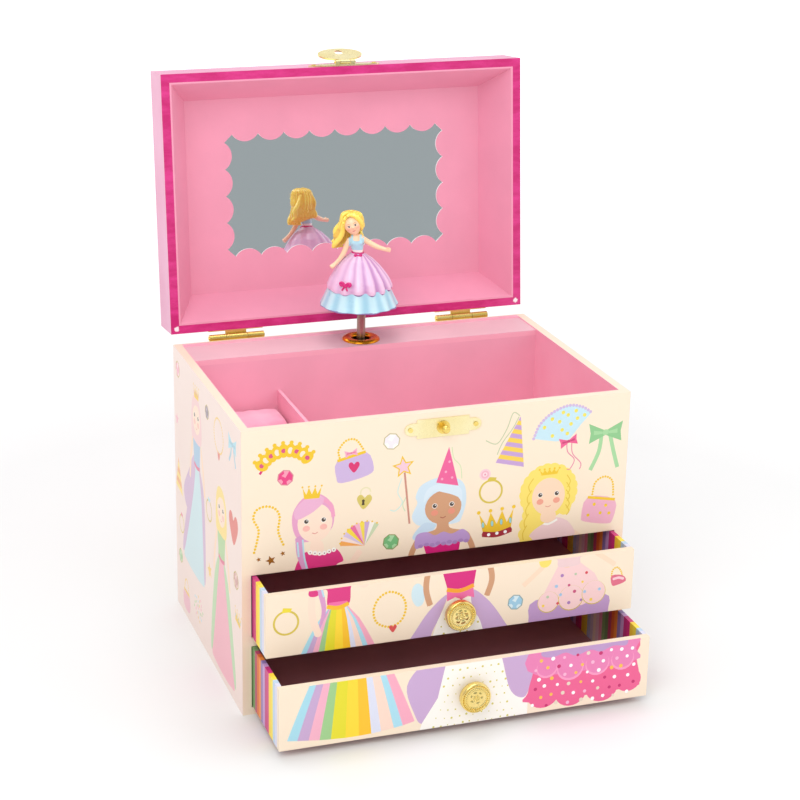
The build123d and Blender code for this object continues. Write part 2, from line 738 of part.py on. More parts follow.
with BuildPart() as movement_screws:
    with BuildSketch(back_plane(figure_x, half_depth, movement_z)):
        with Locations([(-x, z) for x, z in movement_screws_at]):
            Circle(movement_screw_head)
    extrude(amount=movement_screw_radius)
    with BuildSketch(back_plane(figure_x, half_depth, movement_z)):
        with Locations([(-x, z) for x, z in movement_screws_at]):
            Circle(movement_screw_radius)
    extrude(amount=-board - bedplate_thickness - 0.5)
save(movement_screws, "movement_screws")


def toothed_wheel(plane, root_radius, tip_radius, teeth, tooth_width, length, first_tooth=0):
    """A wheel with straight narrow teeth, grown from the plane; first_tooth is in degrees from its x."""
    tooth_height = tip_radius - root_radius
    with BuildPart() as made:
        with BuildSketch(plane):
            Circle(root_radius)
            with PolarLocations(root_radius + tooth_height / 2 - 0.1, teeth, start_angle=first_tooth):
                Rectangle(tooth_height + 0.2, tooth_width)
        extrude(amount=length)
    return made


cap_thickness = 0.7
barrel_web = 1.2
cavity_radius = barrel_radius - barrel_wall
pivot_radius = 1.2
with BuildPart() as spring_barrel:
    with BuildSketch(front_plane(figure_x, barrel_back, movement_z)):
        Circle(barrel_radius)
        Circle(pivot_radius + thin_fit, mode=Mode.SUBTRACT)
    extrude(amount=barrel_depth)
    with BuildSketch(front_plane(figure_x, barrel_back, movement_z)):
        Circle(cavity_radius)
    extrude(amount=barrel_depth - barrel_web, mode=Mode.SUBTRACT)
    with BuildSketch(front_plane(figure_x, barrel_front + 0.1, movement_z)):
        with PolarLocations(crown_middle, crown_teeth):
            Rectangle(crown_outer_radius - crown_inner_radius, crown_tooth_width)
    extrude(amount=crown_tooth_height + 0.1)
save(spring_barrel, "spring_barrel")

with BuildPart() as barrel_cap:
    with BuildSketch(front_plane(figure_x, barrel_back, movement_z)):
        Circle(cavity_radius - thin_fit)
        Circle(arbor_radius + thin_fit, mode=Mode.SUBTRACT)
    extrude(amount=cap_thickness)
save(barrel_cap, "barrel_cap")

spring_inner = arbor_hub_radius + 0.6
spring_outer = cavity_radius - 0.6
coil_step = (spring_outer - spring_inner - spring_strip) / (2 * spring_turns)
spring_front = barrel_front + barrel_web + 0.3
spring_back = barrel_back - cap_thickness - 0.3
with BuildPart() as mainspring:
    with BuildSketch(front_plane(figure_x, spring_back, movement_z)):
        for half_turn in range(2 * spring_turns):
            upper_half = half_turn % 2 == 0
            middle_radius = spring_inner + (half_turn + 0.5) * coil_step + spring_strip / 2
            centre_x = 0 if upper_half else coil_step
            with BuildSketch(mode=Mode.PRIVATE) as half_ring:
                Circle(middle_radius + spring_strip / 2)
                Circle(middle_radius - spring_strip / 2, mode=Mode.SUBTRACT)
                with Locations((0, -middle_radius - 1 if upper_half else middle_radius + 1)):
                    Rectangle(4 * middle_radius, 2 * middle_radius + 2, mode=Mode.SUBTRACT)
            with Locations((centre_x, 0)):
                add(half_ring.sketch)
    extrude(amount=spring_back - spring_front)
save(mainspring, "mainspring")

key_stem_radius = 3.0
key_stem_start = half_depth + key_stand_off
key_wing_start = key_stem_start + 7.0
key_wing_length = 12.0
with BuildPart() as winding_arbor:
    with BuildSketch(front_plane(figure_x, barrel_front + barrel_web + 0.2, movement_z)):
        Circle(pivot_radius)
    extrude(amount=barrel_web + 0.1)
    with BuildSketch(back_plane(figure_x, barrel_front + barrel_web + 0.2, movement_z)):
        Circle(arbor_hub_radius)
    extrude(amount=spring_back - spring_front + 0.2)
    with BuildSketch(back_plane(figure_x, barrel_front + barrel_web + 0.2, movement_z)):
        Circle(arbor_radius)
    extrude(amount=key_wing_start - barrel_front - barrel_web)
save(winding_arbor, "winding_arbor")

wing_radius = key_span / 4
key_thickness = 2.0
with BuildPart() as winding_key:
    with BuildSketch(back_plane(figure_x, key_stem_start, movement_z)):
        Circle(key_stem_radius)
    extrude(amount=key_wing_start - key_stem_start + key_wing_length * 0.4)
    with BuildSketch(Plane.XY.offset(movement_z - key_thickness / 2)):
        with Locations((figure_x - wing_radius, key_wing_start + key_wing_length / 2),
                       (figure_x + wing_radius, key_wing_start + key_wing_length / 2)):
            Ellipse(wing_radius, key_wing_length / 2)
        with Locations((figure_x, key_wing_start + key_wing_length / 2)):
            Rectangle(key_stem_radius * 2, key_wing_length)
        with Locations((figure_x - wing_radius, key_wing_start + key_wing_length / 2),
                       (figure_x + wing_radius, key_wing_start + key_wing_length / 2)):
            Ellipse(wing_radius * 0.45, key_wing_length * 0.22, mode=Mode.SUBTRACT)
    extrude(amount=key_thickness)
    with BuildSketch(back_plane(figure_x, key_stem_start, movement_z)):
        Circle(arbor_radius + thin_fit)
    extrude(amount=key_wing_start - key_stem_start + 0.4, mode=Mode.SUBTRACT)
save(winding_key, "winding_key")

pin_radius = 0.22
pins_per_note = 4
pin_angle_step = 137.5
with BuildPart() as pinned_drum:
    with BuildSketch(side_plane(figure_x + drum_end, train_y, movement_z)):
        Circle(drum_radius)
        Circle(drum_arbor_radius + thin_fit / 2, mode=Mode.SUBTRACT)
    extrude(amount=drum_length)
    for note in range(comb_notes):
        pin_x = figure_x + drum_start - (note + 0.5) * comb_pitch
        for turn in range(pins_per_note):
            angle = radians(note * pin_angle_step + turn * 360 / pins_per_note)
            outward = (0, cos(angle), sin(angle))
            pin_plane = Plane(origin=(pin_x, train_y + (drum_radius - 0.3) * cos(angle),
                                      movement_z + (drum_radius - 0.3) * sin(angle)),
                              x_dir=(1, 0, 0), z_dir=outward)
            with BuildSketch(pin_plane):
                Circle(pin_radius)
            extrude(amount=pin_height + 0.3)
save(pinned_drum, "pinned_drum")

pinion_tooth = 0.7
pinion_start = -crown_middle - pinion_length / 2
with BuildPart() as drum_arbor:
    with BuildSketch(side_plane(figure_x + wheel_x, train_y, movement_z)):
        Circle(drum_arbor_radius)
    extrude(amount=pinion_start + pinion_length - wheel_x)
    add(toothed_wheel(side_plane(figure_x + pinion_start, train_y, movement_z), pinion_root_radius,
                      pinion_radius, pinion_teeth, pinion_tooth, pinion_length, 180 / pinion_teeth).part)
    add(toothed_wheel(side_plane(figure_x + wheel_x, train_y, movement_z), drum_wheel_radius - 0.7,
                      drum_wheel_radius, drum_wheel_teeth, 0.6, wheel_thickness).part)
save(drum_arbor, "drum_arbor")

with BuildPart() as governor:
    with BuildSketch(front_plane(figure_x + worm_x, inner_y - 0.3, worm_z)):
        Circle(worm_shaft_radius)
    extrude(amount=inner_y - 0.3 - fan_front)
    with BuildSketch(front_plane(figure_x + worm_x, train_y + worm_half_length, worm_z)):
        Circle(worm_core_radius)
    extrude(amount=2 * worm_half_length)
    with BuildLine():
        thread = Helix(worm_pitch, 2 * worm_half_length - 1, worm_core_radius,
                       center=(figure_x + worm_x, train_y - worm_half_length + 0.5, worm_z), direction=(0, 1, 0))
    with BuildSketch(Plane(thread @ 0, z_dir=thread % 0)):
        Circle(worm_radius - worm_core_radius)
    sweep(is_frenet=True)
    with BuildSketch(front_plane(figure_x + worm_x, fan_back, worm_z)):
        Rectangle(2 * fan_radius, 0.5)
        Circle(1.1)
    extrude(amount=fan_height)
save(governor, "governor")

with BuildPart() as movement_bracket:
    with BuildSketch(side_plane(figure_x - bracket_half_width, 0, 0)):
        with Locations(((bracket_front + bed_front) / 2, bracket_upper + bracket_sheet / 2)):
            Rectangle(bed_front - bracket_front, bracket_sheet)
        with Locations((bracket_front + bracket_sheet / 2, (bracket_upper + bracket_lower) / 2)):
            Rectangle(bracket_sheet, bracket_upper - bracket_lower)
        with Locations(((bracket_front + train_y + 2) / 2, bracket_lower + bracket_sheet / 2)):
            Rectangle(train_y + 2 - bracket_front, bracket_sheet)
        with Locations((bed_front - bracket_sheet / 2, bracket_upper + 2.4)):
            Rectangle(bracket_sheet, 4.8)
    extrude(amount=2 * bracket_half_width)
    with BuildSketch(front_plane(figure_x, bracket_front + bracket_sheet, 0)):
        with Locations(((worm_x + bracket_half_width - 3) / 2, worm_z + 8.5)):
            Rectangle(bracket_half_width - 3 - worm_x, 3.4)
        with Locations((worm_x, worm_z + 4.2)):
            Rectangle(4, 12)
        with Locations((worm_x, worm_z)):
            Circle(worm_shaft_radius + thin_fit, mode=Mode.SUBTRACT)
    extrude(amount=bracket_sheet)
    with BuildSketch(Plane.XY.offset(bracket_lower)):
        with Locations((figure_x, figure_y)):
            Circle(spindle_shaft_radius + thin_fit)
    extrude(amount=bracket_upper + bracket_sheet - bracket_lower, mode=Mode.SUBTRACT)
save(movement_bracket, "movement_bracket")

with BuildPart() as drive_spindle:
    with BuildSketch(Plane.XY.offset(bracket_lower - 0.4)):
        with Locations((figure_x, figure_y)):
            Circle(spindle_shaft_radius)
    extrude(amount=spring_bottom - bracket_lower + 0.4)
    spindle_foot = Plane.XY.offset(pinion_bottom).shift_origin((figure_x, figure_y, pinion_bottom))
    add(toothed_wheel(spindle_foot, pinion_root_radius, pinion_radius, pinion_teeth, pinion_tooth,
                      pinion_length).part)
    with BuildSketch(Plane.XY.offset(spring_bottom - cup_height)):
        with Locations((figure_x, figure_y)):
            Circle(spindle_radius)
    extrude(amount=cup_height)
save(drive_spindle, "drive_spindle")

# ---------------------------------------------------------------- doll
spring_radius = 1.8
spring_bore = 1.2
with BuildPart() as figure_spring:
    with BuildSketch(Plane.XY.offset(spring_bottom)):
        with Locations((figure_x, figure_y)):
            Circle(spring_radius)
            Circle(spring_bore, mode=Mode.SUBTRACT)
    extrude(amount=spring_top - spring_bottom)
save(figure_spring, "figure_spring")

socket_depth = 8.0
turned = radians(doll_turn)
doll = Plane(origin=(figure_x, figure_y, deck_top), x_dir=(cos(turned), sin(turned), 0), z_dir=(0, 0, 1))


def doll_point(x, y, z):
    return doll.from_local_coords(Vector(x, y, z))


with BuildPart() as figure_spindle:
    with BuildSketch(Plane.XY.offset(spring_top)):
        with Locations((figure_x, figure_y)):
            Circle(spindle_radius)
    extrude(amount=hem_z + socket_depth - spring_top)
save(figure_spindle, "figure_spindle")

petticoat_top_radius = 14.6
with BuildPart() as petticoat:
    with BuildSketch(doll.offset(hem_height)):
        Circle(petticoat_radius)
    with BuildSketch(doll.offset(hem_height + petticoat_height - 1.2)):
        Circle(petticoat_top_radius)
    loft()
    with BuildSketch(doll.offset(hem_height)):
        Circle(spindle_radius + thin_fit)
    extrude(amount=socket_depth, mode=Mode.SUBTRACT)
save(petticoat, "petticoat")

skirt_bottom = hem_height + petticoat_height - 1.2
with BuildPart() as overskirt:
    with BuildSketch(doll.offset(skirt_bottom)):
        Circle(overskirt_radius)
    with BuildSketch(doll.offset(skirt_bottom + (waist_height - skirt_bottom) * 0.45)):
        Circle(overskirt_radius * 0.72)
    with BuildSketch(doll.offset(waist_height)):
        with Locations((-0.9, 0)):
            Circle(waist_radius)
    loft()
    with BuildSketch(doll.offset(hem_height)):
        Circle(spindle_radius + thin_fit)
    extrude(amount=socket_depth, mode=Mode.SUBTRACT)
save(overskirt, "overskirt")

lean = -1.9
arm_radius = 1.25
with BuildPart() as doll_body:
    with BuildSketch(doll.offset(waist_height)):
        with Locations((-0.9, 0)):
            Ellipse(3.0, 2.4)
    with BuildSketch(doll.offset(waist_height + 5.0)):
        with Locations((lean, 0)):
            Ellipse(4.3, 3.1)
    with BuildSketch(doll.offset(waist_height + 8.6)):
        with Locations((lean - 0.3, 0)):
            Ellipse(4.4, 2.2)
    loft()
    with BuildSketch(doll.offset(waist_height + 8.0)):
        with Locations((lean - 0.6, 0)):
            Circle(1.5)
    extrude(amount=5.0)
    with BuildLine():
        right_arm = Spline(doll_point(lean + 3.2, 0, waist_height + 7.6), doll_point(lean + 9, -1.5, waist_height + 3.2),
                           doll_point(15.6, -3.0, waist_height + 1.2))
    with BuildSketch(Plane(right_arm @ 0, z_dir=right_arm % 0)):
        Circle(arm_radius)
    sweep()
    with BuildLine():
        left_arm = Spline(doll_point(lean - 3.4, 0, waist_height + 7.6), doll_point(lean - 7.6, -1.5, waist_height + 0.6),
                          doll_point(-15.2, -3.2, waist_height - 4.6))
    with BuildSketch(Plane(left_arm @ 0, z_dir=left_arm % 0)):
        Circle(arm_radius)
    sweep()
    with Locations(doll_point(lean - 1.0, -0.6, head_height)):
        Sphere(head_radius)
save(doll_body, "doll_body")

with BuildPart() as hair:
    with Locations(doll_point(lean - 1.2, 0.9, head_height + 1.0)):
        Sphere(head_radius + 0.9)
    with BuildSketch(doll.offset(head_height + 0.5)):
        with Locations((lean - 1.8, 2.6)):
            Ellipse(5.0, 3.2)
    with BuildSketch(doll.offset(waist_height + 9.0)):
        with Locations((lean - 4.4, 4.4)):
            Ellipse(6.0, 2.8)
    with BuildSketch(doll.offset(waist_height + 3.6)):
        with Locations((lean - 6.6, 4.6)):
            Ellipse(4.2, 2.2)
    loft()
    add(doll_body.part, mode=Mode.SUBTRACT)
save(hair, "hair")

# ---------------------------------------------------------------- printed for the joints
fold_axis_y = figure_y - fold_forward
fold_axis_z = deck_top + fold_height
print("lid hinge at y", hinge_y, "z", hinge_z)
print("fold axis at y", round(fold_axis_y, 3), "z", fold_axis_z)
print("doll and drive spindle axis at x", figure_x, "y", round(figure_y, 3))
print("train axis at y", round(train_y, 3), "z", movement_z)
print("governor axis at x", round(figure_x + worm_x, 3), "z", round(worm_z, 3))
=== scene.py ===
# %% [markdown]
# # A musical jewellery box, finished
# The imported model already has every board, hinge, drawer and wheel in its place and on its joint.
# This notebook gives those pieces their papers, brass and paint, and makes the pieces that no plain
# solid can stand for: the printed sheets, the moulded doll, the gilt knobs and the foam ring rolls.
# Everything is in metres, in the frame of the model, and each new piece but the coil spring rides on one of
# its bodies.

# %% Load the model as a fixed frame
import json
import math
import random
import bmesh
import bpy
import numpy as np
from mathutils import Matrix, Vector
from mathutils.geometry import delaunay_2d_cdt


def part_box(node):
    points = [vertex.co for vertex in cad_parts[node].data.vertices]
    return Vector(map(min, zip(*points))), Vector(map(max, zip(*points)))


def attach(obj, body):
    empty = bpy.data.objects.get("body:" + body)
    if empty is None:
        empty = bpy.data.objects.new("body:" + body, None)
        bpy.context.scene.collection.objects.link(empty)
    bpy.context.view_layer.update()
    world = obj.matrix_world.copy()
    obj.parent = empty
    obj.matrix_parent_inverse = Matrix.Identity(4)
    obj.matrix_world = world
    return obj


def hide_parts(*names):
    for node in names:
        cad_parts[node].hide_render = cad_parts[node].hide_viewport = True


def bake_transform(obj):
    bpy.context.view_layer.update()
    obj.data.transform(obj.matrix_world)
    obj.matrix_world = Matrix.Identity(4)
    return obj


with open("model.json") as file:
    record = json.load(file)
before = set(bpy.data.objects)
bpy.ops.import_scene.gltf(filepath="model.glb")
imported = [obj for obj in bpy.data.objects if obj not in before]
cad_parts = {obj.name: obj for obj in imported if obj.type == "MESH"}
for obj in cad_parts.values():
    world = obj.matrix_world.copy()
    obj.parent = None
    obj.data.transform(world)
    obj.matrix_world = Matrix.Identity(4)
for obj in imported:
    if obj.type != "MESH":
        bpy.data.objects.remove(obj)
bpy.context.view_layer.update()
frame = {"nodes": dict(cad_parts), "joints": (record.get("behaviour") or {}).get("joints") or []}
nodes = frame["nodes"]
joints = {joint["name"]: joint for joint in frame["joints"]}
mm = 0.001

# %% [markdown]
# ## Colour and shader helpers
# A shader tree is arithmetic on colours and distances, so it reads best as arithmetic. Wire wraps one
# output socket and overloads the operators, and Finish is a material whose one method, node, makes any
# node from its type, its settings and its inputs. Numbers that never vary go straight onto a socket.

# %% Socket arithmetic
def ink(code, foil=0.0):
    """A paint colour from its six-digit code, as linear light, with foil in the fourth place."""
    channels = [int(code[i:i + 2], 16) / 255 for i in (0, 2, 4)]
    linear = [c / 12.92 if c <= 0.04045 else ((c + 0.055) / 1.055) ** 2.4 for c in channels]
    return (*linear, foil)


def paint(code):
    return ink(code, 1.0)


class Wire:
    """One output of a shader node that can be added, multiplied and compared."""

    def __init__(self, finish, socket):
        self.finish, self.socket = finish, socket

    def sum(self, operation, *values):
        return self.finish.node("Math", {"operation": operation}, dict(enumerate(values)))

    def __add__(self, other):
        return self.sum("ADD", self, other)

    def __radd__(self, other):
        return self.sum("ADD", other, self)

    def __sub__(self, other):
        return self.sum("SUBTRACT", self, other)

    def __rsub__(self, other):
        return self.sum("SUBTRACT", other, self)

    def __mul__(self, other):
        return self.sum("MULTIPLY", self, other)

    def __rmul__(self, other):
        return self.sum("MULTIPLY", other, self)

    def __truediv__(self, other):
        return self.sum("DIVIDE", self, other)

    def __gt__(self, other):
        return self.sum("GREATER_THAN", self, other)

    def __lt__(self, other):
        return self.sum("LESS_THAN", self, other)


class Finish:
    """A material with one Principled shader and the few steps that every finish here uses."""

    def __init__(self, name, **settings):
        self.material = bpy.data.materials.new(name)
        self.material.use_nodes = True
        self.tree = self.material.node_tree
        self.tree.nodes.clear()
        self.shader = self.tree.nodes.new("ShaderNodeBsdfPrincipled")
        output = self.tree.nodes.new("ShaderNodeOutputMaterial")
        self.tree.links.new(self.shader.outputs["BSDF"], output.inputs["Surface"])
        self.set(**settings)

    def feed(self, socket, value):
        if isinstance(value, Wire):
            self.tree.links.new(value.socket, socket)
        else:
            socket.default_value = value

    def set(self, **values):
        for key, value in values.items():
            self.feed(self.shader.inputs[key.replace("_", " ").title().replace("Ior", "IOR")], value)

    def node(self, kind, settings=None, inputs=None, out=0):
        made = self.tree.nodes.new("ShaderNode" + kind)
        for key, value in (settings or {}).items():
            if key == "stops":
                ramp = made.color_ramp.elements
                while len(ramp) < len(value):
                    ramp.new(0.5)
                for element, (place, colour) in zip(ramp, value):
                    element.position, element.color = place, colour
            elif key == "steps":
                made.color_ramp.interpolation = value
            else:
                setattr(made, key, value)
        for key, value in (inputs or {}).items():
            self.feed(made.inputs[key], value)
        return Wire(self, made.outputs[out])

    def place(self):
        """Where a point is on the piece, in metres."""
        return self.node("TexCoord", out="Object")

    def axis(self, name):
        return self.node("SeparateXYZ", inputs={0: self.place()}, out=name)

    def along(self, direction):
        """How far a point is along a direction."""
        return self.node("VectorMath", {"operation": "DOT_PRODUCT"}, {0: self.place(), 1: direction}, "Value")

    def facing(self, direction):
        """1 where the surface looks along a direction, -1 where it looks away."""
        normal = self.node("NewGeometry", out="Normal")
        return self.node("VectorMath", {"operation": "DOT_PRODUCT"}, {0: normal, 1: direction}, "Value")

    def noise(self, size, detail=3.0, stretch=(1, 1, 1), roughness=0.5):
        """Noise whose patches are about size metres across, drawn out by stretch."""
        scaled = self.node("Mapping", {"vector_type": "POINT"},
                           {"Vector": self.place(), "Scale": tuple(1 / s for s in stretch)})
        return self.node("TexNoise", None, {"Vector": scaled, "Scale": 1 / size, "Detail": detail,
                                            "Roughness": roughness}, "Fac")

    def ramp(self, value, low, high, to=(0.0, 1.0)):
        """value from low to high becomes to[0] to to[1], and is held at the ends."""
        return self.node("MapRange", None, {"Value": value, "From Min": low, "From Max": high,
                                            "To Min": to[0], "To Max": to[1]})

    def mix(self, share, a, b, blend="MIX"):
        return self.node("Mix", {"data_type": "RGBA", "blend_type": blend}, {0: share, 6: a, 7: b}, 2)

    def bump(self, height, depth, strength=1.0):
        """Turns a height from 0 to 1 into relief that is depth metres high."""
        self.set(normal=self.node("Bump", None, {"Strength": strength, "Distance": depth, "Height": height}))


print("shader helpers ready")

# %% [markdown]
# ## Papers and card
# The boards are grey card wrapped in paper. A wrapped board shows two scales at once: a slow change of
# tone where the paper took up glue, and a fine tooth of fibre.
# The same recipe serves every paper here, with its own colour, gloss and amount of mottle.

# %% Paper recipe
def paper(name, colour, mottle=0.05, dark=None, roughness=0.5, tooth=0.00003, coat=0.0):
    """Paper over board: slow mottle, fibre tooth, and a sheen that follows both."""
    finish = Finish(name, roughness=roughness, coat_roughness=0.3)
    clouds = finish.noise(0.03, 4.0)
    fibre = finish.noise(0.0006, 5.0, (1, 1, 1), 0.7)
    dark = dark or tuple(c * (1 - 2.2 * mottle) for c in colour[:3]) + (1.0,)
    tone = finish.mix(finish.ramp(clouds, 0.3, 0.7), dark, colour)
    finish.tone = finish.mix(finish.ramp(fibre, 0.35, 0.65, (0.0, mottle)), tone, (1, 1, 1, 1), "SOFT_LIGHT")
    finish.set(base_color=finish.tone, coat_weight=coat,
               roughness=finish.ramp(fibre, 0.3, 0.7, (roughness - 0.06, roughness + 0.08)))
    finish.bump(fibre, tooth, 0.6)
    return finish


cream_card = paper("cream_card", paint("f8e5cd"), 0.03, roughness=0.42, coat=0.15)
pink_lining = paper("pink_lining", paint("f7b4c8"), 0.04)
pale_lining = paper("pale_pink_lining", paint("ecbec8"), 0.04)
pale_lining.set(base_color=pale_lining.mix(pale_lining.ramp(pale_lining.facing((0, -1, 0)), 0.3, 0.7),
                                           pale_lining.tone,
                                           paint("f8b9ca")))
print("papers", len(bpy.data.materials))

# %% [markdown]
# ## The lid's covering
# Outside, the lid is covered in pale pink paper. A strip of strong pink paper with brushed marks in it goes
# over its rim. The rim is one plane of the lid, so the strip is found by how far a point lies from that
# plane, worked out from the hinge joint. A few rubbed spots on the corners show the white core.

# %% Lid covering
lid_open = math.radians(joints["lid_hinge"]["range_deg"][1])
hinge_line = Vector(joints["lid_hinge"]["pos_m"])
lid_swing = (Matrix.Translation(hinge_line) @ Matrix.Rotation(-lid_open, 4, "X")
             @ Matrix.Translation(-hinge_line))
lid_rim_z = 0.13375
lid_down = tuple((lid_swing.to_3x3() @ Vector((0, 0, -1))).normalized())
rim_level = Vector(lid_down).dot(lid_swing @ Vector((0, 0, lid_rim_z)))

lid_cover = Finish("lid_covering", roughness=0.38, coat_weight=0.2, coat_roughness=0.25)
brushed = lid_cover.noise(0.0045, 4.0, (3.0, 1, 1), 0.6)
specks = lid_cover.noise(0.0009, 3.0)
strong = lid_cover.mix(lid_cover.ramp(brushed, 0.38, 0.68), paint("c60a6c"), paint("dc3088"))
strong = lid_cover.mix(lid_cover.ramp(specks, 0.58, 0.75, (0.0, 0.35)), strong, paint("b80f63"))
outside = lid_cover.mix(lid_cover.ramp(lid_cover.noise(0.04), 0.3, 0.7), paint("dc84ac"), paint("e49cbe"))
on_rim = lid_cover.ramp(lid_cover.along(lid_down), rim_level - 0.0005, rim_level - 0.0003)
tone = lid_cover.mix(on_rim, outside, strong)
for side in (-1, 1):
    corner = lid_swing @ Vector((side * 0.0872, 0.0592, lid_rim_z))
    away = lid_cover.node("VectorMath", {"operation": "DISTANCE"},
                          {0: lid_cover.place(), 1: tuple(corner)}, "Value")
    rubbed = lid_cover.ramp(away + specks * 0.0016, 0.0016, 0.0022, (1.0, 0.0))
    tone = lid_cover.mix(rubbed, tone, paint("f7ecef"))
lid_cover.set(base_color=tone)
lid_cover.bump(brushed * 0.6 + specks * 0.4, 0.00006, 0.5)
print("rim plane", round(rim_level, 4))

# %% [markdown]
# ## Lining, mat and mirror
# The mat round the mirror is a stamped card with a wavy edge. Its cut edge shows the paler core, which
# draws a thin light line round every scallop. The cut is every part of the mat that does not face out of
# the lid, so the shader asks which way the surface looks. The mirror is plain silvered glass: a smooth
# metal with faint wipe marks in its roughness.

# %% Mat and mirror finishes
lid_lining = paper("lid_lining", paint("ee9cb6"), 0.04)
mat_card = paper("mirror_mat_card", paint("f09db6"), 0.04)
cut_edge = mat_card.ramp(mat_card.node("Math", {"operation": "ABSOLUTE"}, {0: mat_card.facing(lid_down)}),
                         0.3, 0.7, (1.0, 0.0))
mat_card.set(base_color=mat_card.mix(cut_edge, mat_card.tone, paint("ffffff")))

silvered = Finish("silvered_glass", metallic=1.0, base_color=paint("f0f4f5"))
wipe = silvered.noise(0.012, 4.0, (1, 0.3, 2.4))
silvered.set(roughness=silvered.ramp(wipe, 0.45, 0.75, (0.015, 0.07)))
print("mirror finish ready")

# %% [markdown]
# ## Brass, gilt and steel
# The fittings are stamped sheet: bright, slightly wavy, with faint rubbing marks. The grommet is a redder,
# deeper gold than the pale clasp plates. Each metal is the same recipe with its own colour: a base that
# drifts a little, roughness that follows fine scratches, and relief of a few microns.

# %% Metal recipe
def metal(name, colour, shade, roughness=0.2, grain=0.0016, depth=0.00002, stretch=(1, 1, 1)):
    finish = Finish(name, metallic=1.0)
    wave = finish.noise(grain * 12, 2.0)
    scratch = finish.noise(grain * 0.3, 4.0, stretch, 0.7)
    finish.set(base_color=finish.mix(finish.ramp(wave, 0.35, 0.65), shade, colour),
               roughness=finish.ramp(scratch, 0.3, 0.7, (roughness * 0.7, roughness * 1.5)))
    finish.bump(scratch, depth * 0.3, 0.4)
    return finish


pale_brass = metal("pale_brass", paint("fdf2c4"), paint("f5e4a6"), 0.3)
hinge_brass = metal("hinge_brass", paint("fbe48c"), paint("eecb62"), 0.3)
grommet_gold = metal("grommet_gold", paint("eaa128"), paint("cd7c14"), 0.2)
gilt = metal("gilt", paint("fdeeb0"), paint("f2d67c"), 0.2)
plate_steel = metal("plated_steel", paint("c9cbcf"), paint("a9acb2"), 0.28)
polished_steel = metal("polished_steel", paint("cbc0b0"), paint("978c80"), 0.3, stretch=(1, 1, 12))
wheel_brass = metal("wheel_brass", paint("e3c070"), paint("bf9648"), 0.3)
spring_steel = metal("blued_steel", paint("8f97a6"), paint("5f6878"), 0.3)
print("metals ready")

# %% [markdown]
# ## Drawer papers
# Each drawer is lined with dark plum paper, and its walls are wrapped inside and out in paper with broad
# upright stripes. The stripes run with the distance behind the drawer's face along the side walls, and
# across it on the back wall, so one ramp of hard-edged colours serves for all of them.

# %% Drawer papers
stripe_colours = ["fdf0e2", "dcdcf2", "bcd6ee", "ffe54a", "ffd83a", "d42a7c", "c2307a", "c49ad0", "8f7ab8",
                  "f2913a", "e06a2a", "b8436f", "6f9a62", "8cb878", "f2a8c4", "f7d9e8"]


def striped(name, front_y):
    finish = Finish(name, roughness=0.45, coat_weight=0.1)
    depth = finish.axis("Y") - front_y
    back_wall = finish.ramp(depth, 0.1145, 0.1150)
    across = finish.axis("X") + 0.2
    run = depth * (1 - back_wall) + across * back_wall
    period = 0.050
    phase = finish.node("Math", {"operation": "FRACT"}, {0: run / period})
    stops = [(i / len(stripe_colours), paint(c)) for i, c in enumerate(stripe_colours)]
    stripes = finish.node("ValToRGB", {"stops": stops, "steps": "CONSTANT"}, {"Fac": phase}, "Color")
    fibre = finish.noise(0.0006, 5.0)
    finish.set(base_color=finish.mix(finish.ramp(fibre, 0.35, 0.65, (0.0, 0.08)), stripes, (1, 1, 1, 1),
                                     "SOFT_LIGHT"))
    finish.bump(fibre, 0.00003, 0.6)
    return finish


upper_front_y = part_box("upper_drawer_front")[0].y
lower_front_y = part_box("lower_drawer_front")[0].y
upper_stripes = striped("upper_drawer_stripes", upper_front_y)
lower_stripes = striped("lower_drawer_stripes", lower_front_y)
plum_lining = paper("plum_lining", paint("cc8e98"), 0.08, roughness=0.5)
print("drawer fronts at", round(upper_front_y, 4), round(lower_front_y, 4))

# %% [markdown]
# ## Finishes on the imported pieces
# Pieces whose shape is already right keep it and only take a material. The table below is the whole
# finishing schedule: a finish, and the pieces that have it.

# %% Finishing schedule
schedule = {
    cream_card: ["base_board", "drawer_shelf", "upper_drawer_front", "lower_drawer_front"],
    pink_lining: ["tray_floor", "tray_divider", "ring_shelf", "music_wall"],
    pale_lining: ["music_deck"],
    lid_cover: ["lid_frame", "lid_panel"],
    lid_lining: ["lid_liner"],
    mat_card: ["mirror_mat"],
    silvered: ["mirror"],
    pale_brass: ["catch_plate", "clasp_plate", "clasp_flap"],
    hinge_brass: ["left_hinge_case_leaf", "right_hinge_case_leaf", "left_hinge_lid_leaf",
                  "right_hinge_lid_leaf", "hinge_pins", "case_nails", "lid_nails", "catch_knob", "clasp_pin",
                  "winding_key"],
    plate_steel: ["bedplate", "comb", "comb_screws", "movement_screws", "winding_arbor", "drum_arbor",
                  "movement_bracket", "upper_drawer_knob_screw", "lower_drawer_knob_screw"],
    polished_steel: ["drive_spindle", "figure_spindle"],
    wheel_brass: ["spring_barrel", "barrel_cap", "pinned_drum", "governor"],
    spring_steel: ["mainspring"],
    upper_stripes: ["upper_drawer_sides"],
    lower_stripes: ["lower_drawer_sides"],
    plum_lining: ["upper_drawer_floor", "lower_drawer_floor"],
}


def wear(obj, finish):
    obj.data.materials.clear()
    obj.data.materials.append(finish.material)


for finish, names in schedule.items():
    for name in names:
        wear(nodes[name], finish)

# %% [markdown]
# The tray's walls are the same boards seen from inside, so they are cream outside and pink inside. Their
# finish asks where a point is: inside the walls' inner faces and above the tray's floor it is lining. On the
# back board the lining also turns over the top edge.

# %% Walls with two papers
inner_x, inner_y, tray_level = 0.0862, 0.0578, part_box("tray_floor")[1].z - 0.0002


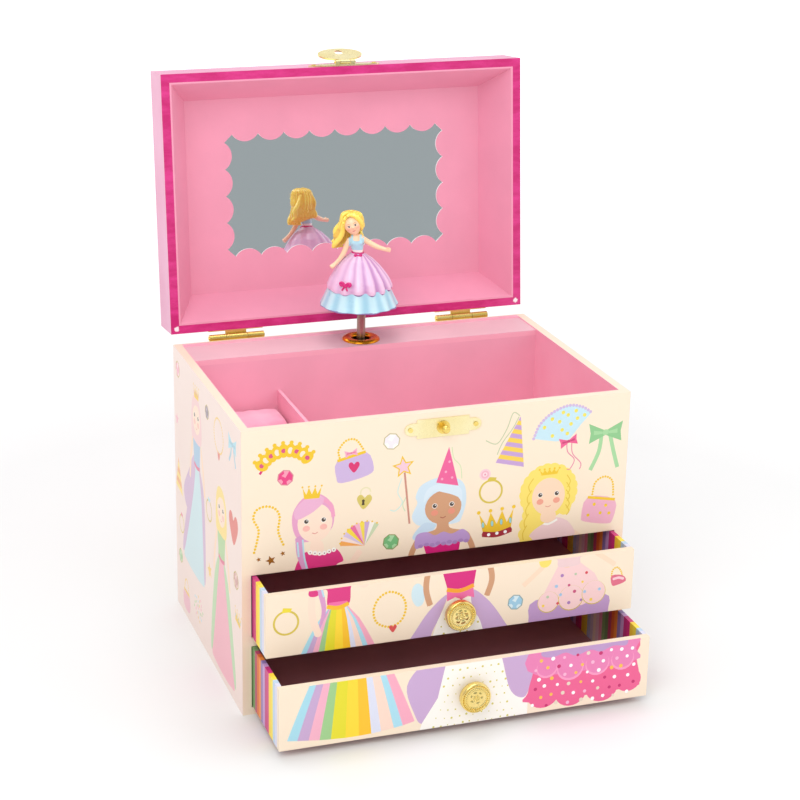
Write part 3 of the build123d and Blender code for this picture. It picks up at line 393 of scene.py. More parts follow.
def lined_card(name, over_top):
    finish = paper(name, paint("f8e5cd"), 0.03, roughness=0.42, coat=0.15)
    x, y, z = (finish.axis(a) for a in "XYZ")
    inside = (x < inner_x) * (x > -inner_x) * (y < inner_y) * (y > -inner_y) * (z > tray_level)
    if over_top:
        top = (z > 0.1334) * (y < 0.0606)
        inside = finish.node("Math", {"operation": "MAXIMUM"}, {0: inside, 1: top})
    clouds = finish.ramp(finish.noise(0.03), 0.3, 0.7)
    lining = finish.mix(clouds, paint("f6adc2"), paint("f9bccd"))
    finish.set(base_color=finish.mix(inside, finish.tone, lining))
    return finish


wall_card = lined_card("wall_card", False)
for name in ("left_side_board", "right_side_board", "front_board"):
    wear(nodes[name], wall_card)
wear(nodes["back_board"], lined_card("back_board_card", True))
print("finished", sum(len(n) for n in schedule.values()) + 4, "packed pieces")

# %% [markdown]
# ## Printed sheets
# The case is wrapped in cream paper printed with flat, hard-edged drawings: three dressed-up friends, and
# jewels, fans, hats and bags scattered between them. A picture file is one way to carry a print. Here each
# sheet is cut like marquetry instead: every drawn shape is a polygon in millimetres, one constrained
# triangulation cuts the sheet along all their outlines, and each triangle takes the colour of the topmost
# shape over it. The colours ride in the mesh, so the print is sharp at any distance. The fourth channel
# says how much of a spot is gold foil.

# %% A sheet of drawn shapes
class Sheet:
    """Flat shapes in millimetres, painted in order over a cream ground."""

    def __init__(self):
        self.shapes = []

    def fill(self, points, colour):
        area = sum(a[0] * b[1] - b[0] * a[1] for a, b in zip(points, points[1:] + points[:1]))
        self.shapes.append((points if area > 0 else points[::-1], colour))

    def blob(self, points, colour, steps=5):
        """A closed smooth outline through the points."""
        self.fill(smooth(points, steps, True), colour)

    def disc(self, x, y, r, colour, ry=None, sides=18, turn=0.0):
        ry = ry or r
        c, s = math.cos(turn), math.sin(turn)
        ring = [(r * math.cos(2 * math.pi * i / sides), ry * math.sin(2 * math.pi * i / sides))
                for i in range(sides)]
        self.fill([(x + u * c - v * s, y + u * s + v * c) for u, v in ring], colour)

    def line(self, points, width, colour, steps=5, taper=1.0):
        """A drawn line with round joints; taper is the width at its end over the width at its start."""
        path = smooth(points, steps, False) if len(points) > 2 and steps > 1 else points
        for i in range(len(path) - 1):
            (ax, ay), (bx, by) = path[i], path[i + 1]
            long = math.hypot(bx - ax, by - ay) or 1e-6
            wide = width / 2 * (1 + (taper - 1) * i / max(1, len(path) - 2))
            nx, ny = -(by - ay) / long * wide, (bx - ax) / long * wide
            self.fill([(ax - nx, ay - ny), (bx - nx, by - ny), (bx + nx, by + ny), (ax + nx, ay + ny)],
                      colour)
            if i:
                self.disc(ax, ay, wide, colour, sides=8)

    def beads(self, points, radius, colour, gap=1.15, closed=False):
        """Beads strung along a smooth line."""
        path = smooth(points, 14, closed)
        due = 0.0
        for a, b in zip(path, path[1:]):
            step = math.hypot(b[0] - a[0], b[1] - a[1])
            while due < step:
                share = due / step
                self.disc(a[0] + (b[0] - a[0]) * share, a[1] + (b[1] - a[1]) * share, radius, colour,
                          sides=10)
                due += 2 * radius * gap
            due -= step


def smooth(points, steps, closed):
    """Points on a curve that goes through every given point."""
    count = len(points)
    made = []
    for i in range(count if closed else count - 1):
        if closed:
            p = [points[(i + k) % count] for k in (-1, 0, 1, 2)]
        else:
            p = [points[max(0, min(count - 1, i + k))] for k in (-1, 0, 1, 2)]
        for k in range(steps):
            t = k / steps
            made.append(tuple(0.5 * (2 * p[1][j] + (p[2][j] - p[0][j]) * t
                                     + (2 * p[0][j] - 5 * p[1][j] + 4 * p[2][j] - p[3][j]) * t * t
                                     + (3 * p[1][j] - p[0][j] - 3 * p[2][j] + p[3][j]) * t ** 3)
                              for j in (0, 1)))
    if not closed:
        made.append(tuple(points[-1]))
    return made


print("sheet ready")

# %% [markdown]
# The material of every sheet reads the colour and the foil from the mesh. Ink and paper share one satin
# varnish; foil is smoother and a metal. The fibre of the paper still shows through both.

# %% Printed paper finish
printed = Finish("printed_paper", coat_roughness=0.3)
colour = printed.node("Attribute", {"attribute_name": "ink"}, out="Color")
foil = printed.node("Attribute", {"attribute_name": "ink"}, out="Alpha")
fibre = printed.noise(0.0006, 5.0, (1, 1, 1), 0.7)
clouds = printed.noise(0.03, 4.0)
colour = printed.mix(printed.ramp(clouds, 0.3, 0.7, (0.0, 0.05)), colour, paint("e8c9b4"), "MULTIPLY")
colour = printed.mix(printed.ramp(fibre, 0.35, 0.65, (0.0, 0.05)), colour, (1, 1, 1, 1), "SOFT_LIGHT")
printed.set(base_color=colour, metallic=foil * 0.55, coat_weight=0.15,
            roughness=printed.ramp(fibre, 0.3, 0.7, (0.38, 0.5)) - foil * 0.16)
printed.bump(fibre, 0.00003, 0.6)
cream = ink("f8e5cd")
sheet_thickness = 0.15


def placed(name, mesh):
    """An object that shows a mesh, linked to the scene."""
    made = bpy.data.objects.new(name, mesh)
    bpy.context.scene.collection.objects.link(made)
    return made


def cut_sheet(name, sheet, window, origin, across, upward, body, holes=(), ground=cream):
    """The part of a sheet inside a window (x0, y0, x1, y1), as a thin closed skin laid on a plane."""
    x0, y0, x1, y1 = window
    shapes = [([(x0, y0), (x1, y0), (x1, y1), (x0, y1)], ground)]
    for points, shade in sheet.shapes:
        xs, ys = [p[0] for p in points], [p[1] for p in points]
        if max(xs) > x0 and min(xs) < x1 and max(ys) > y0 and min(ys) < y1:
            shapes.append((points, shade))
    for hx, hy, r in holes:
        shapes.append(([(hx + r * math.cos(a * math.pi / 16), hy + r * math.sin(a * math.pi / 16))
                        for a in range(32)], None))
    flat, faces = [], []
    for points, _ in shapes:
        faces.append(list(range(len(flat), len(flat) + len(points))))
        flat.extend(Vector(p) for p in points)
    verts, _, tris, _, _, owners = delaunay_2d_cdt(flat, [], faces, 1, 1e-5, True)
    kept = [(list(t), shapes[max(o)][1]) for t, o in zip(tris, owners) if 0 in o and shapes[max(o)][1]]
    used = sorted({i for t, _ in kept for i in t})
    row = {v: i for i, v in enumerate(used)}
    across, upward = Vector(across), Vector(upward)
    outward = across.cross(upward)
    base = [Vector(origin) + (across * verts[i].x + upward * verts[i].y) * mm for i in used]
    count = len(base)
    points = [b + outward * sheet_thickness * mm for b in base] + base
    front = [([row[i] for i in t], shade) for t, shade in kept]
    edges = {}
    for t, _ in front:
        for a, b in zip(t, t[1:] + t[:1]):
            edges[(a, b)] = True
    polygons = [t for t, _ in front] + [[i + count for i in t[::-1]] for t, _ in front]
    shades = [shade for _, shade in front] * 2
    for a, b in edges:
        if (b, a) not in edges:
            polygons.append([b, a, a + count, b + count])
            shades.append(ground)
    mesh = bpy.data.meshes.new(name)
    mesh.from_pydata(points, [], polygons)
    layer = mesh.color_attributes.new("ink", "FLOAT_COLOR", "CORNER")
    values = np.array([shade for p, shade in zip(polygons, shades) for _ in p], np.float32)
    layer.data.foreach_set("color", values.ravel())
    made = placed(name, mesh)
    wear(made, printed)
    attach(made, body)
    "printed_card" if body == "case" else "drawer_print" if "drawer" in body else "lid_covering"
    print(name, "shapes", len(shapes), "faces", len(polygons))
    return made


# %% [markdown]
# ## The small motifs
# Jewels, stars, hearts, bows, crowns, fans, bags and rings come again and again round the box, so each is
# one function of its place, size and colours. They are all simple outlines: a cut gem is an octagon in an
# octagon, a bow is two triangles and two ribbons, and a crown is a band with balls on spikes.

# %% Motifs
gold = ink("f2c72c", 0.7)
old_gold = ink("c9b04a", 0.8)
bronze = ink("a86a1c", 0.9)
line_gold = ink("d9c24a", 0.6)


def polygon(x, y, r, sides, turn=0.0):
    return [(x + r * math.cos(turn + 2 * math.pi * i / sides),
             y + r * math.sin(turn + 2 * math.pi * i / sides))
            for i in range(sides)]


def gem(s, x, y, r, colour, light, rim=old_gold):
    s.fill(polygon(x, y, r, 8, 0.25), rim)
    s.fill(polygon(x, y, r * 0.87, 8, 0.25), light)
    inner, outer = polygon(x, y, r * 0.52, 8, 0.25), polygon(x, y, r * 0.87, 8, 0.25)
    for i in (0, 2, 3, 5, 7):
        s.fill([inner[i], outer[i], outer[(i + 1) % 8], inner[(i + 1) % 8]], colour)
    s.fill(inner, colour)
    s.fill([inner[1], inner[2], inner[3], (x, y)], light)


def star(s, x, y, r, colour, turn=0.3, edge=None):
    for size, shade in ((r, edge or colour), (r * 0.72, colour)):
        s.fill([(x + size * k * math.cos(turn + math.pi / 2 + math.pi * i / 5),
                 y + size * k * math.sin(turn + math.pi / 2 + math.pi * i / 5))
                for i, k in enumerate([1, 0.45] * 5)], shade)


def heart(s, x, y, r, colour, turn=0.0):
    shape = [(0, -1.15), (0.75, -0.35), (1.05, 0.35), (0.8, 0.85), (0.35, 0.85), (0, 0.45),
             (-0.35, 0.85), (-0.8, 0.85), (-1.05, 0.35), (-0.75, -0.35)]
    c, n = math.cos(turn), math.sin(turn)
    s.blob([(x + r * (u * c - v * n), y + r * (u * n + v * c)) for u, v in shape], colour, 3)


def bow(s, x, y, w, colour, shade, tails=0.0, turn=0.0):
    if tails:
        s.line([(x - w * 0.12, y), (x - w * 0.18, y - tails * 0.5), (x - w * 0.42, y - tails)], w * 0.12,
               shade)
        s.line([(x + w * 0.12, y), (x + w * 0.26, y - tails * 0.5), (x + w * 0.42, y - tails)], w * 0.12,
               shade)
    c, n = math.cos(turn), math.sin(turn)
    for side in (-1, 1):
        shape = [(0, 0.05), (side * 0.52, 0.3), (side * 0.46, 0), (side * 0.5, -0.3), (0, -0.08)]
        s.fill([(x + w * (u * c - v * n), y + w * (u * n + v * c)) for u, v in shape], colour)
        fold = [(side * 0.1, 0.03), (side * 0.36, 0.08), (side * 0.36, -0.05), (side * 0.1, -0.04)]
        s.fill([(x + w * (u * c - v * n), y + w * (u * n + v * c)) for u, v in fold], shade)
    s.disc(x, y, w * 0.1, shade, w * 0.09, sides=10)


def crown(s, x, y, w, h, turn=0.0, band=None, jewel=None, spikes=4):
    c, n = math.cos(turn), math.sin(turn)

    def at(u, v):
        return (x + w * u * c - h * v * n, y + w * u * n + h * v * c)

    outline = [at(-0.4, 0)]
    for i in range(spikes):
        u = -0.55 + 1.1 * i / (spikes - 1)
        outline.append(at(u * 0.9, 0.9))
        if i < spikes - 1:
            outline.append(at(u * 0.8 + 0.44 / (spikes - 1), 0.35))
    outline.append(at(0.4, 0))
    s.fill(outline, gold)
    for i in range(spikes):
        u = -0.55 + 1.1 * i / (spikes - 1)
        s.disc(*at(u * 0.92, 0.97), w * 0.055, gold, sides=10)
        if jewel:
            s.disc(*at(u * 0.72, 0.4), w * 0.05, old_gold, h * 0.16, 12, turn)
            s.disc(*at(u * 0.72, 0.4), w * 0.034, jewel, h * 0.12, 12, turn)
    if band:
        s.line([at(-0.42, 0.0), at(0, -0.12), at(0.42, 0.0)], h * 0.24, band)
        for u in (-0.24, 0.0, 0.24):
            s.disc(*at(u, -0.07), w * 0.05, ink("ffffff"), h * 0.07, 10, turn)


def finger_ring(s, x, y, r, gem_colour):
    ring = polygon(x, y, r, 30)
    s.line(ring + ring[:1], r * 0.17, line_gold, 1)
    s.fill([(x - r * 0.35, y + r * 0.9), (x + r * 0.35, y + r * 0.88), (x + r * 0.5, y + r * 1.2),
            (x - r * 0.25, y + r * 1.32)], gem_colour)


def purse(s, body_points, colour, handle, spots=None):
    s.blob(body_points, colour, 3)
    top = body_points[:2]
    s.line(top, 1.3, gold, 1)
    s.beads(handle, 0.55, gold)
    for x, y in spots or ():
        s.disc(x, y, 0.8, gold, sides=10)


def wand(s, x, y, r, foot):
    s.line([(x + 0.6, y - r * 0.5), foot], 0.9, ink("c98a78"), 1)
    star(s, x, y, r, ink("f0c6d6"), 0.12, gold)


def fan(s, x, y, r, start, end, colours):
    count = len(colours)
    for i, shade in enumerate(colours):
        a, b = (math.radians(start + (end - start) * k / count) for k in (i, i + 1))
        m = (a + b) / 2
        s.fill([(x, y), (x + r * math.cos(a), y + r * math.sin(a)),
                (x + r * 1.05 * math.cos(m), y + r * 1.05 * math.sin(m)),
                (x + r * math.cos(b), y + r * math.sin(b))], shade)
        s.disc(x + r * 1.03 * math.cos(m), y + r * 1.03 * math.sin(m), 0.45, gold, sides=8)


def spots(s, points, r, colours, rng):
    for x, y in points:
        s.disc(x, y, r * rng.uniform(0.8, 1.15), colours[rng.randrange(len(colours))], sides=10)


def party_hat(s, tip, left, right, colours, bands=1):
    for i in range(bands):
        a, b = i / bands, (i + 1) / bands
        p = [tuple(tip[j] + (q[j] - tip[j]) * t for j in (0, 1)) for q,
             t in ((left, a), (right, a), (right, b), (left, b))]
        s.fill(p, colours[i % len(colours)])


def face(s, x, y, w, h, skin, cheek, lip, apart=3.9, tilt=0.0):
    """A calm, simple printed face: two dots, two blushes and a short smile."""
    s.disc(x, y, w, skin, h, 26)
    for side in (-1, 1):
        ex, ey = x + side * apart, y + 1.0 + tilt * side
        s.disc(ex, ey - 3.3, 1.7, cheek, 1.4, 12)
        s.disc(ex, ey, 1.25, ink("fdf6ee"), 1.25, 12)
        s.disc(ex, ey, 1.0, ink("4a3a2e"), sides=12)
        s.disc(ex + 0.3, ey + 0.35, 0.28, ink("ffffff"), sides=8)
    s.line([(x - 1.3, y - 4.6), (x, y - 5.1), (x + 1.3, y - 4.5)], 0.4, lip, 4)


def gown(s, top, bottom, z_top, z_bottom, shades, steps=8, bell=0.75):
    """Stripes that fan out from a waist to a hem; top and bottom are the stripes' edges."""
    for i, shade in enumerate(shades):
        left = [(top[i] + (bottom[i] - top[i]) * (k / steps) ** bell,
                 z_top + (z_bottom[i] - z_top) * k / steps)
                for k in range(steps + 1)]
        right = [(top[i + 1] + (bottom[i + 1] - top[i + 1]) * (k / steps) ** bell,
                  z_top + (z_bottom[i + 1] - z_top) * k / steps) for k in range(steps + 1)]
        s.fill(left + right[::-1], shade)


print("motifs ready")

# %% [markdown]
# ## The front's picture
# The picture is drawn once for the closed box, in millimetres from the middle of its foot, and then cut
# into three sheets for the fixed front and the two drawers. That is how such boxes are wrapped, and it is
# why each gown carries on from the front on to the drawers. First come the three friends.

# %% Friend with the rainbow gown
rng = random.Random(11)
front = Sheet()
skin_a, skin_b, skin_c = ink("fde0cb"), ink("d09a74"), ink("fbd8ba")
lilac, white, magenta = ink("c9a8d2"), ink("fdf9f2"), ink("dd2f7f")

rainbow = ["a5daea", "c6a6d0", "f3b0c6", "9ccb8a", "e6dc1e", "ffd92a", "fcc21a", "dcdff2", "f9d9c8", "a9dcee",
           "f6a9c0"]
waist = [-57.6, -57.3, -57.0, -56.7, -56.3, -54.0, -51.9, -50.6, -50.2, -49.9, -49.5, -49.0]
hem = [-82.0, -77.5, -72.5, -67.6, -62.6, -56.0, -50.0, -44.4, -40.0, -34.2, -30.2, -24.8]
drop = [8.2, 7.6, 7.0, 6.4, 6.0, 5.6, 5.6, 5.8, 6.2, 6.8, 7.4, 8.6]
gown(front, waist, hem, 57.5, drop, [ink(c) for c in rainbow])
front.line([(-65.2, 64), (-65.0, 55), (-62.6, 46.8)], 3.2, skin_a)
front.disc(-62.4, 46.2, 1.7, skin_a)
front.line([(-46.0, 69.5), (-41.5, 66.5), (-36.6, 72.5)], 3.0, skin_a)
front.blob([(-60.5, 74), (-54, 72.6), (-48, 75), (-44.2, 69), (-47.6, 66.8), (-48.8, 58.2), (-57.8, 58.2),
            (-58.4, 66),
            (-63, 66.5)], magenta)
front.blob([(-61, 75), (-65, 71), (-66.6, 64.6), (-62.2, 64.2), (-60, 70)], magenta)
front.fill([(-57.6, 60), (-49.4, 60), (-48.8, 58), (-58, 58)], ink("f06aa6"))
front.line([(-58.4, 58.2), (-53.4, 57.2), (-48.8, 58.6)], 1.9, ink("f9bf2a", 0.5))
front.blob([(-58.6, 80), (-54.0, 79), (-53.4, 74.2), (-56.5, 72.8), (-59.4, 74.4)], skin_a)
for k in range(6):
    front.disc(-59.4 + k * 2.15, 73.2 + 0.5 * abs(k - 2.5), 1.05, white, sides=12)
    front.disc(-59.4 + k * 2.15, 73.1 + 0.5 * abs(k - 2.5), 0.3, ink("8a2f52"), sides=8)
front.blob([(-67.2, 86), (-67.2, 94), (-62.5, 100.4), (-56, 101.6), (-50.6, 97.6), (-48.6, 91), (-50.2, 84),
            (-58, 80),
            (-64, 80.4)], ink("e6a0c6"))
front.line([(-64.2, 82), (-63.8, 74), (-61.4, 66), (-59.8, 57), (-61.2, 50.2)], 4.0, ink("d99ac8"),
           taper=0.35)
front.line([(-62.8, 81), (-62.0, 72), (-59.8, 63)], 0.8, ink("b8dcea"))
front.line([(-65.2, 80), (-64.6, 73)], 0.8, ink("b8dcea"), 1)
face(front, -57.3, 88.2, 7.9, 9.0, skin_a, ink("f8b9ae"), ink("e59a8c"))
front.blob([(-65.6, 90.6), (-60.4, 92.2), (-56.4, 94.6), (-53.0, 98.2), (-55.6, 100.8), (-61.4, 99.8),
            (-66.4, 95.2)],
           ink("eab0d0"))
front.line([(-53.0, 98.4), (-50.0, 95.4), (-49.0, 90)], 1.8, ink("ef9fc2"))
crown(front, -58.8, 99.6, 8.6, 5.8, -0.02)

# %% [markdown]
# The second friend has a lilac gown that parts over a white one with gold dots, and a tall hat.

# %% Friend with the tall hat
front.blob([(-3.5, 56.5), (-12, 49.5), (-20, 38), (-28.6, 26), (-25, 12), (-21.6, 6.8), (-17, 11.5),
            (-11.8, 26),
            (-10.6, 38), (-7, 46)], lilac)
front.fill([(-3.2, 54), (8.4, 54), (13.4, 40), (17, 24), (24, 12.2), (27.8, 13.8), (27.8, -2), (-24, -2),
            (-21.4, 7),
            (-14.4, 18), (-11.2, 33), (-8, 44)], white)
for k in range(170):
    column, line = k % 13, k // 13
    x, y = -20 + column * 3.5 + (line % 2) * 1.7 + rng.uniform(-0.5,
                                                               0.5), 4.2 + line * 3.7 + rng.uniform(-0.5, 0.5)
    limit = 5.5 + (50 - y) * 0.27
    if -limit - 1.5 < x - 2.4 < limit + 2.6 and y < 50:
        front.disc(x, y, rng.choice((0.3, 0.42, 0.55)), ink("d8cf6a", 0.5), sides=8)
front.blob([(8.2, 57.5), (16.6, 50.4), (24.6, 38.6), (30.2, 29), (27.6, 14.2), (23.6, 12.6), (19, 17.6),
            (15.4, 31),
            (12.2, 42), (8.4, 49)], lilac)
front.fill([(-3.8, 58.2), (8.6, 58.2), (9.2, 53.4), (6.2, 54.6), (3.2, 53.2), (0.2, 54.8), (-3.6, 53.2)],
           ink("ee6ba6"))
front.fill([(-7.2, 71.5), (10.4, 71.5), (8.6, 58.6), (-3.4, 58.6)], ink("d8107a"))
front.line([(-3.8, 58.8), (2.4, 57.6), (8.8, 59.4)], 1.9, ink("f8a52a", 0.4))
front.blob([(-19.6, 62), (-17, 63.6), (-14.2, 60), (-14.6, 54), (-17.6, 52.8), (-20, 57)], ink("cfe6ee"))
front.line([(-9.4, 74.5), (-12.6, 68), (-13.4, 60), (-11.4, 52.4)], 2.7, skin_b)
front.line([(13.2, 74), (16.0, 68), (17.2, 61), (15.0, 53.6)], 2.7, skin_b)
front.blob([(-9.6, 81), (-12.8, 85.4), (-10.4, 91.5), (-11.2, 95), (-8, 100.4), (2.2, 103), (10.6, 99.4),
            (12.6, 91),
            (10.8, 83), (8.4, 80.2), (-1, 80)], ink("cfe3f1"))
front.blob([(-6, 82), (-9.8, 79.6), (-12.4, 75.4), (-9.4, 73.8), (-4.2, 76.6), (-1.4, 80)], ink("c3d9ec"))
front.blob([(-9.2, 76.4), (-1.6, 78.2), (-0.8, 83), (4.4, 83), (5.2, 78.2), (13.4, 75.6), (13, 71.4),
            (-9, 71.4)], skin_b)
front.blob([(-10.6, 76.2), (-5.8, 77.4), (-1.8, 75.4), (2.2, 76.6), (6.2, 75.2), (11.4, 76.8), (14.8, 73.2),
            (13.6, 70.4),
            (8.4, 71.2), (5.2, 69.6), (1.6, 71), (-2, 69.6), (-6, 71), (-10.8, 70)], ink("b996cf"))
for k in range(9):
    front.disc(-8.4 + k * 2.7, 70.9 + (k % 2) * 0.5, 1.25, ink("a884c2"), 0.9, 10)
face(front, 1.8, 88.4, 8.6, 8.0, skin_b, ink("e58f76"), ink("a9583f"), 4.0)
front.blob([(-7.4, 91.6), (-3, 96.2), (2.4, 95.2), (8.4, 92.6), (10.4, 90), (9.8, 96.6), (3, 99.8),
            (-5.4, 98)],
           ink("d8e8f4"))
party_hat(front, (3.8, 116.6), (-1.8, 100.4), (8.7, 97.8), [ink("ec5e98")])
for x, y in ((2.6, 105), (5.6, 102), (4.2, 109.6), (0.9, 101.8)):
    front.disc(x, y, 0.6, ink("f6a6c6"), sides=8)
front.line([(5.2, 116.4), (6.2, 111), (9.4, 107), (10.2, 101)], 0.5, ink("d5dfb4"))

# %% [markdown]
# The third friend is fair and curly, with a spotted gown in scalloped tiers. The curls are discs along the
# outline of the head, which gives a cloud's edge with very little drawing.

# %% Friend with the scalloped gown
tier_deep, tier_mid, tier_top = ink("ee5f92"), ink("ea7fb4"), ink("f8d0d0")
front.line([(46.0, 68.6), (40.4, 62.8), (32.2, 55.8)], 2.3, ink("f9dcc0"))
front.line([(64.0, 69.6), (71.0, 64.4), (76.4, 60.4)], 2.3, ink("f9dcc0"))
hem_lobes = ((35.2, 12.4, 7.6), (48.4, 11.4, 7.6), (63.4, 11.6, 7.9), (76.2, 13.0, 6.2))
front.blob([(32, 33), (77.4, 33), (79.4, 24), (81.6, 12), (76, 9), (29, 9), (27.8, 14), (30, 24)], tier_deep,
           4)
for x, y, r in hem_lobes:
    front.disc(x, y, r, tier_deep, r * 0.92, 22)
front.blob([(31.5, 35), (77.4, 35), (79.0, 28), (78, 22), (31.6, 22)], tier_mid, 4)
for x, y, r in ((36.4, 24.6, 5.0), (47.6, 23.2, 6.4), (60.6, 23.2, 5.8), (72.8, 23.8, 5.6)):
    front.disc(x, y, r, ink("f59ac2"), r * 0.95, 20)
    front.disc(x, y + 0.7, r * 0.93, tier_mid, r * 0.88, 20)
front.blob([(38.6, 48), (35.4, 38), (33.4, 31.4), (39, 29.6), (45, 31), (50, 28.8), (57, 30.6), (62, 29),
            (68, 31),
            (74.6, 30.6), (74.2, 38), (71.4, 47)], ink("bd97c8"), 4)
front.fill([(49.2, 64.4), (58.4, 64.4), (66.6, 57.5), (72.4, 46.6), (61, 42.5), (39.6, 45.4), (44, 54)],
           tier_top)
for x, y, r in ((44.6, 46.4, 4.9), (55.6, 47, 5.9), (66.6, 48.2, 5.6)):
    front.disc(x, y - 0.2, r + 0.25, line_gold, r + 0.25, 22)
    front.disc(x, y, r, tier_top, r, 22)
front.line([(49.4, 63.6), (53.6, 62.8), (58.4, 64.2)], 1.6, gold)
dot_inks = [ink(c) for c in ("ffffff", "fbc04a", "c81e6a", "f6b6d4", "e8d8c4", "ffffff")]
spots(front, [(30.6 + (k % 9) * 5.6 + (k // 9 % 2) * 2.7 + rng.uniform(-0.8, 0.8),
               6.8 + (k // 9) * 4.4 + rng.uniform(-0.6, 0.6)) for k in range(54)], 0.85, dot_inks, rng)
apron_inks = [ink(c) for c in ("c84a78", "f8d24a", "b6c6a4", "9fc4e4", "a978b8", "d8404e")]
spots(front, [(42.6 + (k % 5) * 5.9 + (k // 5 % 2) * 2.4 + rng.uniform(-0.8, 0.8),
               45.0 + (k // 5) * 4.3 + rng.uniform(-0.6, 0.6)) for k in range(20)
              if abs(42.6 + (k % 5) * 5.9 - 54) < 16 - (k // 5) * 2.6], 0.75, apron_inks, rng)
front.blob([(44.5, 73), (50, 76.6), (57, 76.8), (62.6, 74), (66, 67.6), (59.6, 66.4), (58.6, 62.6),
            (49.2, 62.6), (48, 66.4),
            (43, 67)], ink("f0cfd0"))
front.line([(48.6, 75.4), (52.4, 74.0), (57.0, 75.8)], 1.0, white)
fair = ink("fae06a")
front.blob([(41, 90), (43, 98.4), (52, 102.4), (61, 99), (64.6, 90), (63, 82), (57, 78), (46, 72), (40.4, 66),
            (38.8, 70),
            (41, 80)], fair)
for k in range(16):
    angle = math.radians(-40 + k * 17)
    front.disc(52.2 + 11.2 * math.cos(angle), 89.6 + 11.0 * math.sin(angle), 3.1, fair, sides=14)
for x, y in ((42.6, 79.6), (41.4, 75.2), (41.0, 70.6), (42.4, 66.2), (60.4, 80.6)):
    front.disc(x, y, 3.0, fair, sides=14)
front.blob([(49.6, 80), (55.4, 80), (56, 76.2), (52.4, 74.8), (49, 76.2)], skin_c)
face(front, 52.2, 87.6, 8.0, 8.9, skin_c, ink("f0a18a"), ink("e59a86"), 4.0)
for k in range(5):
    front.line([(44.6 - k * 0.6, 97 - k * 5.6), (42.4 - k * 0.5, 93.4 - k * 5.6),
                (43.6 - k * 0.7, 90 - k * 5.6)], 0.5,
               ink("e9c63c"))
    front.line([(60.8, 97 - k * 3.6), (62.6, 93.8 - k * 3.6), (61.4, 91 - k * 3.4)], 0.5, ink("e9c63c"))
front.blob([(45, 92.4), (48.4, 96.6), (54, 97.4), (59.4, 94), (60.4, 97.6), (54, 100.4), (46.4, 98.8)], fair)
crown(front, 52.2, 98.0, 9.6, 2.9, 0.0, spikes=5)
print("figures drawn", len(front.shapes))

# %% [markdown]
# Between the friends float the treasures, each from the motif functions.

# %% Treasures on the front
front.line([(-82.0, 113.4), (-77.4, 119.0), (-70.6, 121.0), (-64.6, 120.2), (-59.6, 117.0)], 1.1,
           ink("d62a72"), 8)
for k in range(9):
    angle = math.radians(148 - k * 13.4)
    cx, cy = -70.4 + 12.6 * math.cos(angle), 110.6 + 12.4 * math.sin(angle)
    front.disc(cx, cy, 2.3, gold, 3.2, 16, angle - math.pi / 2)
    front.disc(cx, cy, 1.1, cream if k % 2 else ink("d8507e"), 1.5 if k % 2 else 1.0, 12, angle - math.pi / 2)
    front.disc(-70.4 + 16.2 * math.cos(angle), 110.6 + 16.0 * math.sin(angle), 0.95, gold, sides=10)
gem(front, -70.6, 110.6, 3.8, ink("e63a80"), ink("f59ab2"), ink("d88a94"))
for x, y, r in ((-82.6, 74.1, 1.2), (-77.2, 73.0, 2.4), (-71.8, 75.6, 1.3)):
    star(front, x, y, r, bronze)
front.beads([(-84.6, 77.6), (-83.2, 83), (-82.6, 88), (-84.8, 93), (-83.6, 97), (-79.6, 98.4), (-75.4, 97),
             (-73.2, 93),
             (-73.8, 86), (-71.4, 79.4)], 0.62, gold, 1.2)
purse(front, [(-47.4, 115.6), (-34.6, 118.6), (-30.8, 111), (-33.4, 107.6), (-45.4, 105.2), (-47.8, 108)],
      ink("cbb2dc"), [(-46.4, 117), (-46.8, 120.6), (-43.4, 124.6), (-39.0, 124.4), (-35.6, 119.6)])
heart(front, -39.8, 112.2, 2.4, ink("d9246c"))
bow(front, -41.2, 118.6, 5.6, ink("f2a6c0"), ink("e07c9e"), turn=0.15)
gem(front, -22.8, 122.0, 4.0, ink("efe9ee"), white, ink("c5bb92", 0.6))
front.line([(-17.8, 104.4), (-19.6, 98), (-17.4, 93), (-20.4, 89.4), (-23, 90)], 0.5, ink("cfe4dc"))
front.line([(-16.6, 104.2), (-15.2, 97), (-17.2, 92), (-16, 88.6)], 0.5, ink("cfdcb8"))
wand(front, -17.2, 109.6, 5.4, (-13.9, 82.4))
front.line(polygon(-34.4, 99.6, 2.3, 20), 0.7, ink("e9dfb6", 0.5), 1)
heart(front, -35.0, 95.6, 3.3, ink("d8c566", 0.6), -0.1)
front.disc(-35.4, 95.8, 0.7, ink("4a3a1c"), sides=10)
front.fill([(-35.8, 95.6), (-35.0, 95.6), (-34.8, 93.8), (-36.2, 93.8)], ink("4a3a1c"))
fan(front, -34.6, 74.6, 11.2, 55, 174,
    [ink(c) for c in ("c9d6b0", "f6efe6", "c8a8d4", "f5dd4a", "f2b6cc", "e96ba0",
                                                         "fadb3c", "d7c4e4", "f8e2d8", "f6a852")])
gem(front, -22.4, 74.8, 3.9, ink("6fb878"), ink("a9d8a4"), ink("8a9a5a", 0.4))
finger_ring(front, 24.2, 93.2, 5.3, line_gold)
for r, shade in ((2.7, "f5ccd4"), (1.9, "f0b3c2"), (1.1, "f8dbe0"), (0.5, "e79ab0")):
    front.disc(21.2, 101.6, r, ink(shade), sides=14)
crown(front, 27.8, 73.4, 16.6, 11.0, 0.06, ink("a01d30"), ink("8fd0dc"))
party_hat(front, (37.2, 127.4), (26.0, 106.6), (39.6, 103.2), [ink("c39fd2"), ink("f5cf4c")], 11)
front.line([(36.8, 127.6), (33.6, 129.2), (30.8, 122), (26.4, 115.6), (21.0, 117.6)], 0.55, ink("c3cba6"), 8)
front.line([(36.4, 127.2), (33.6, 122), (29.0, 115.8), (26.6, 110.4)], 0.55, ink("c3cba6"), 8)
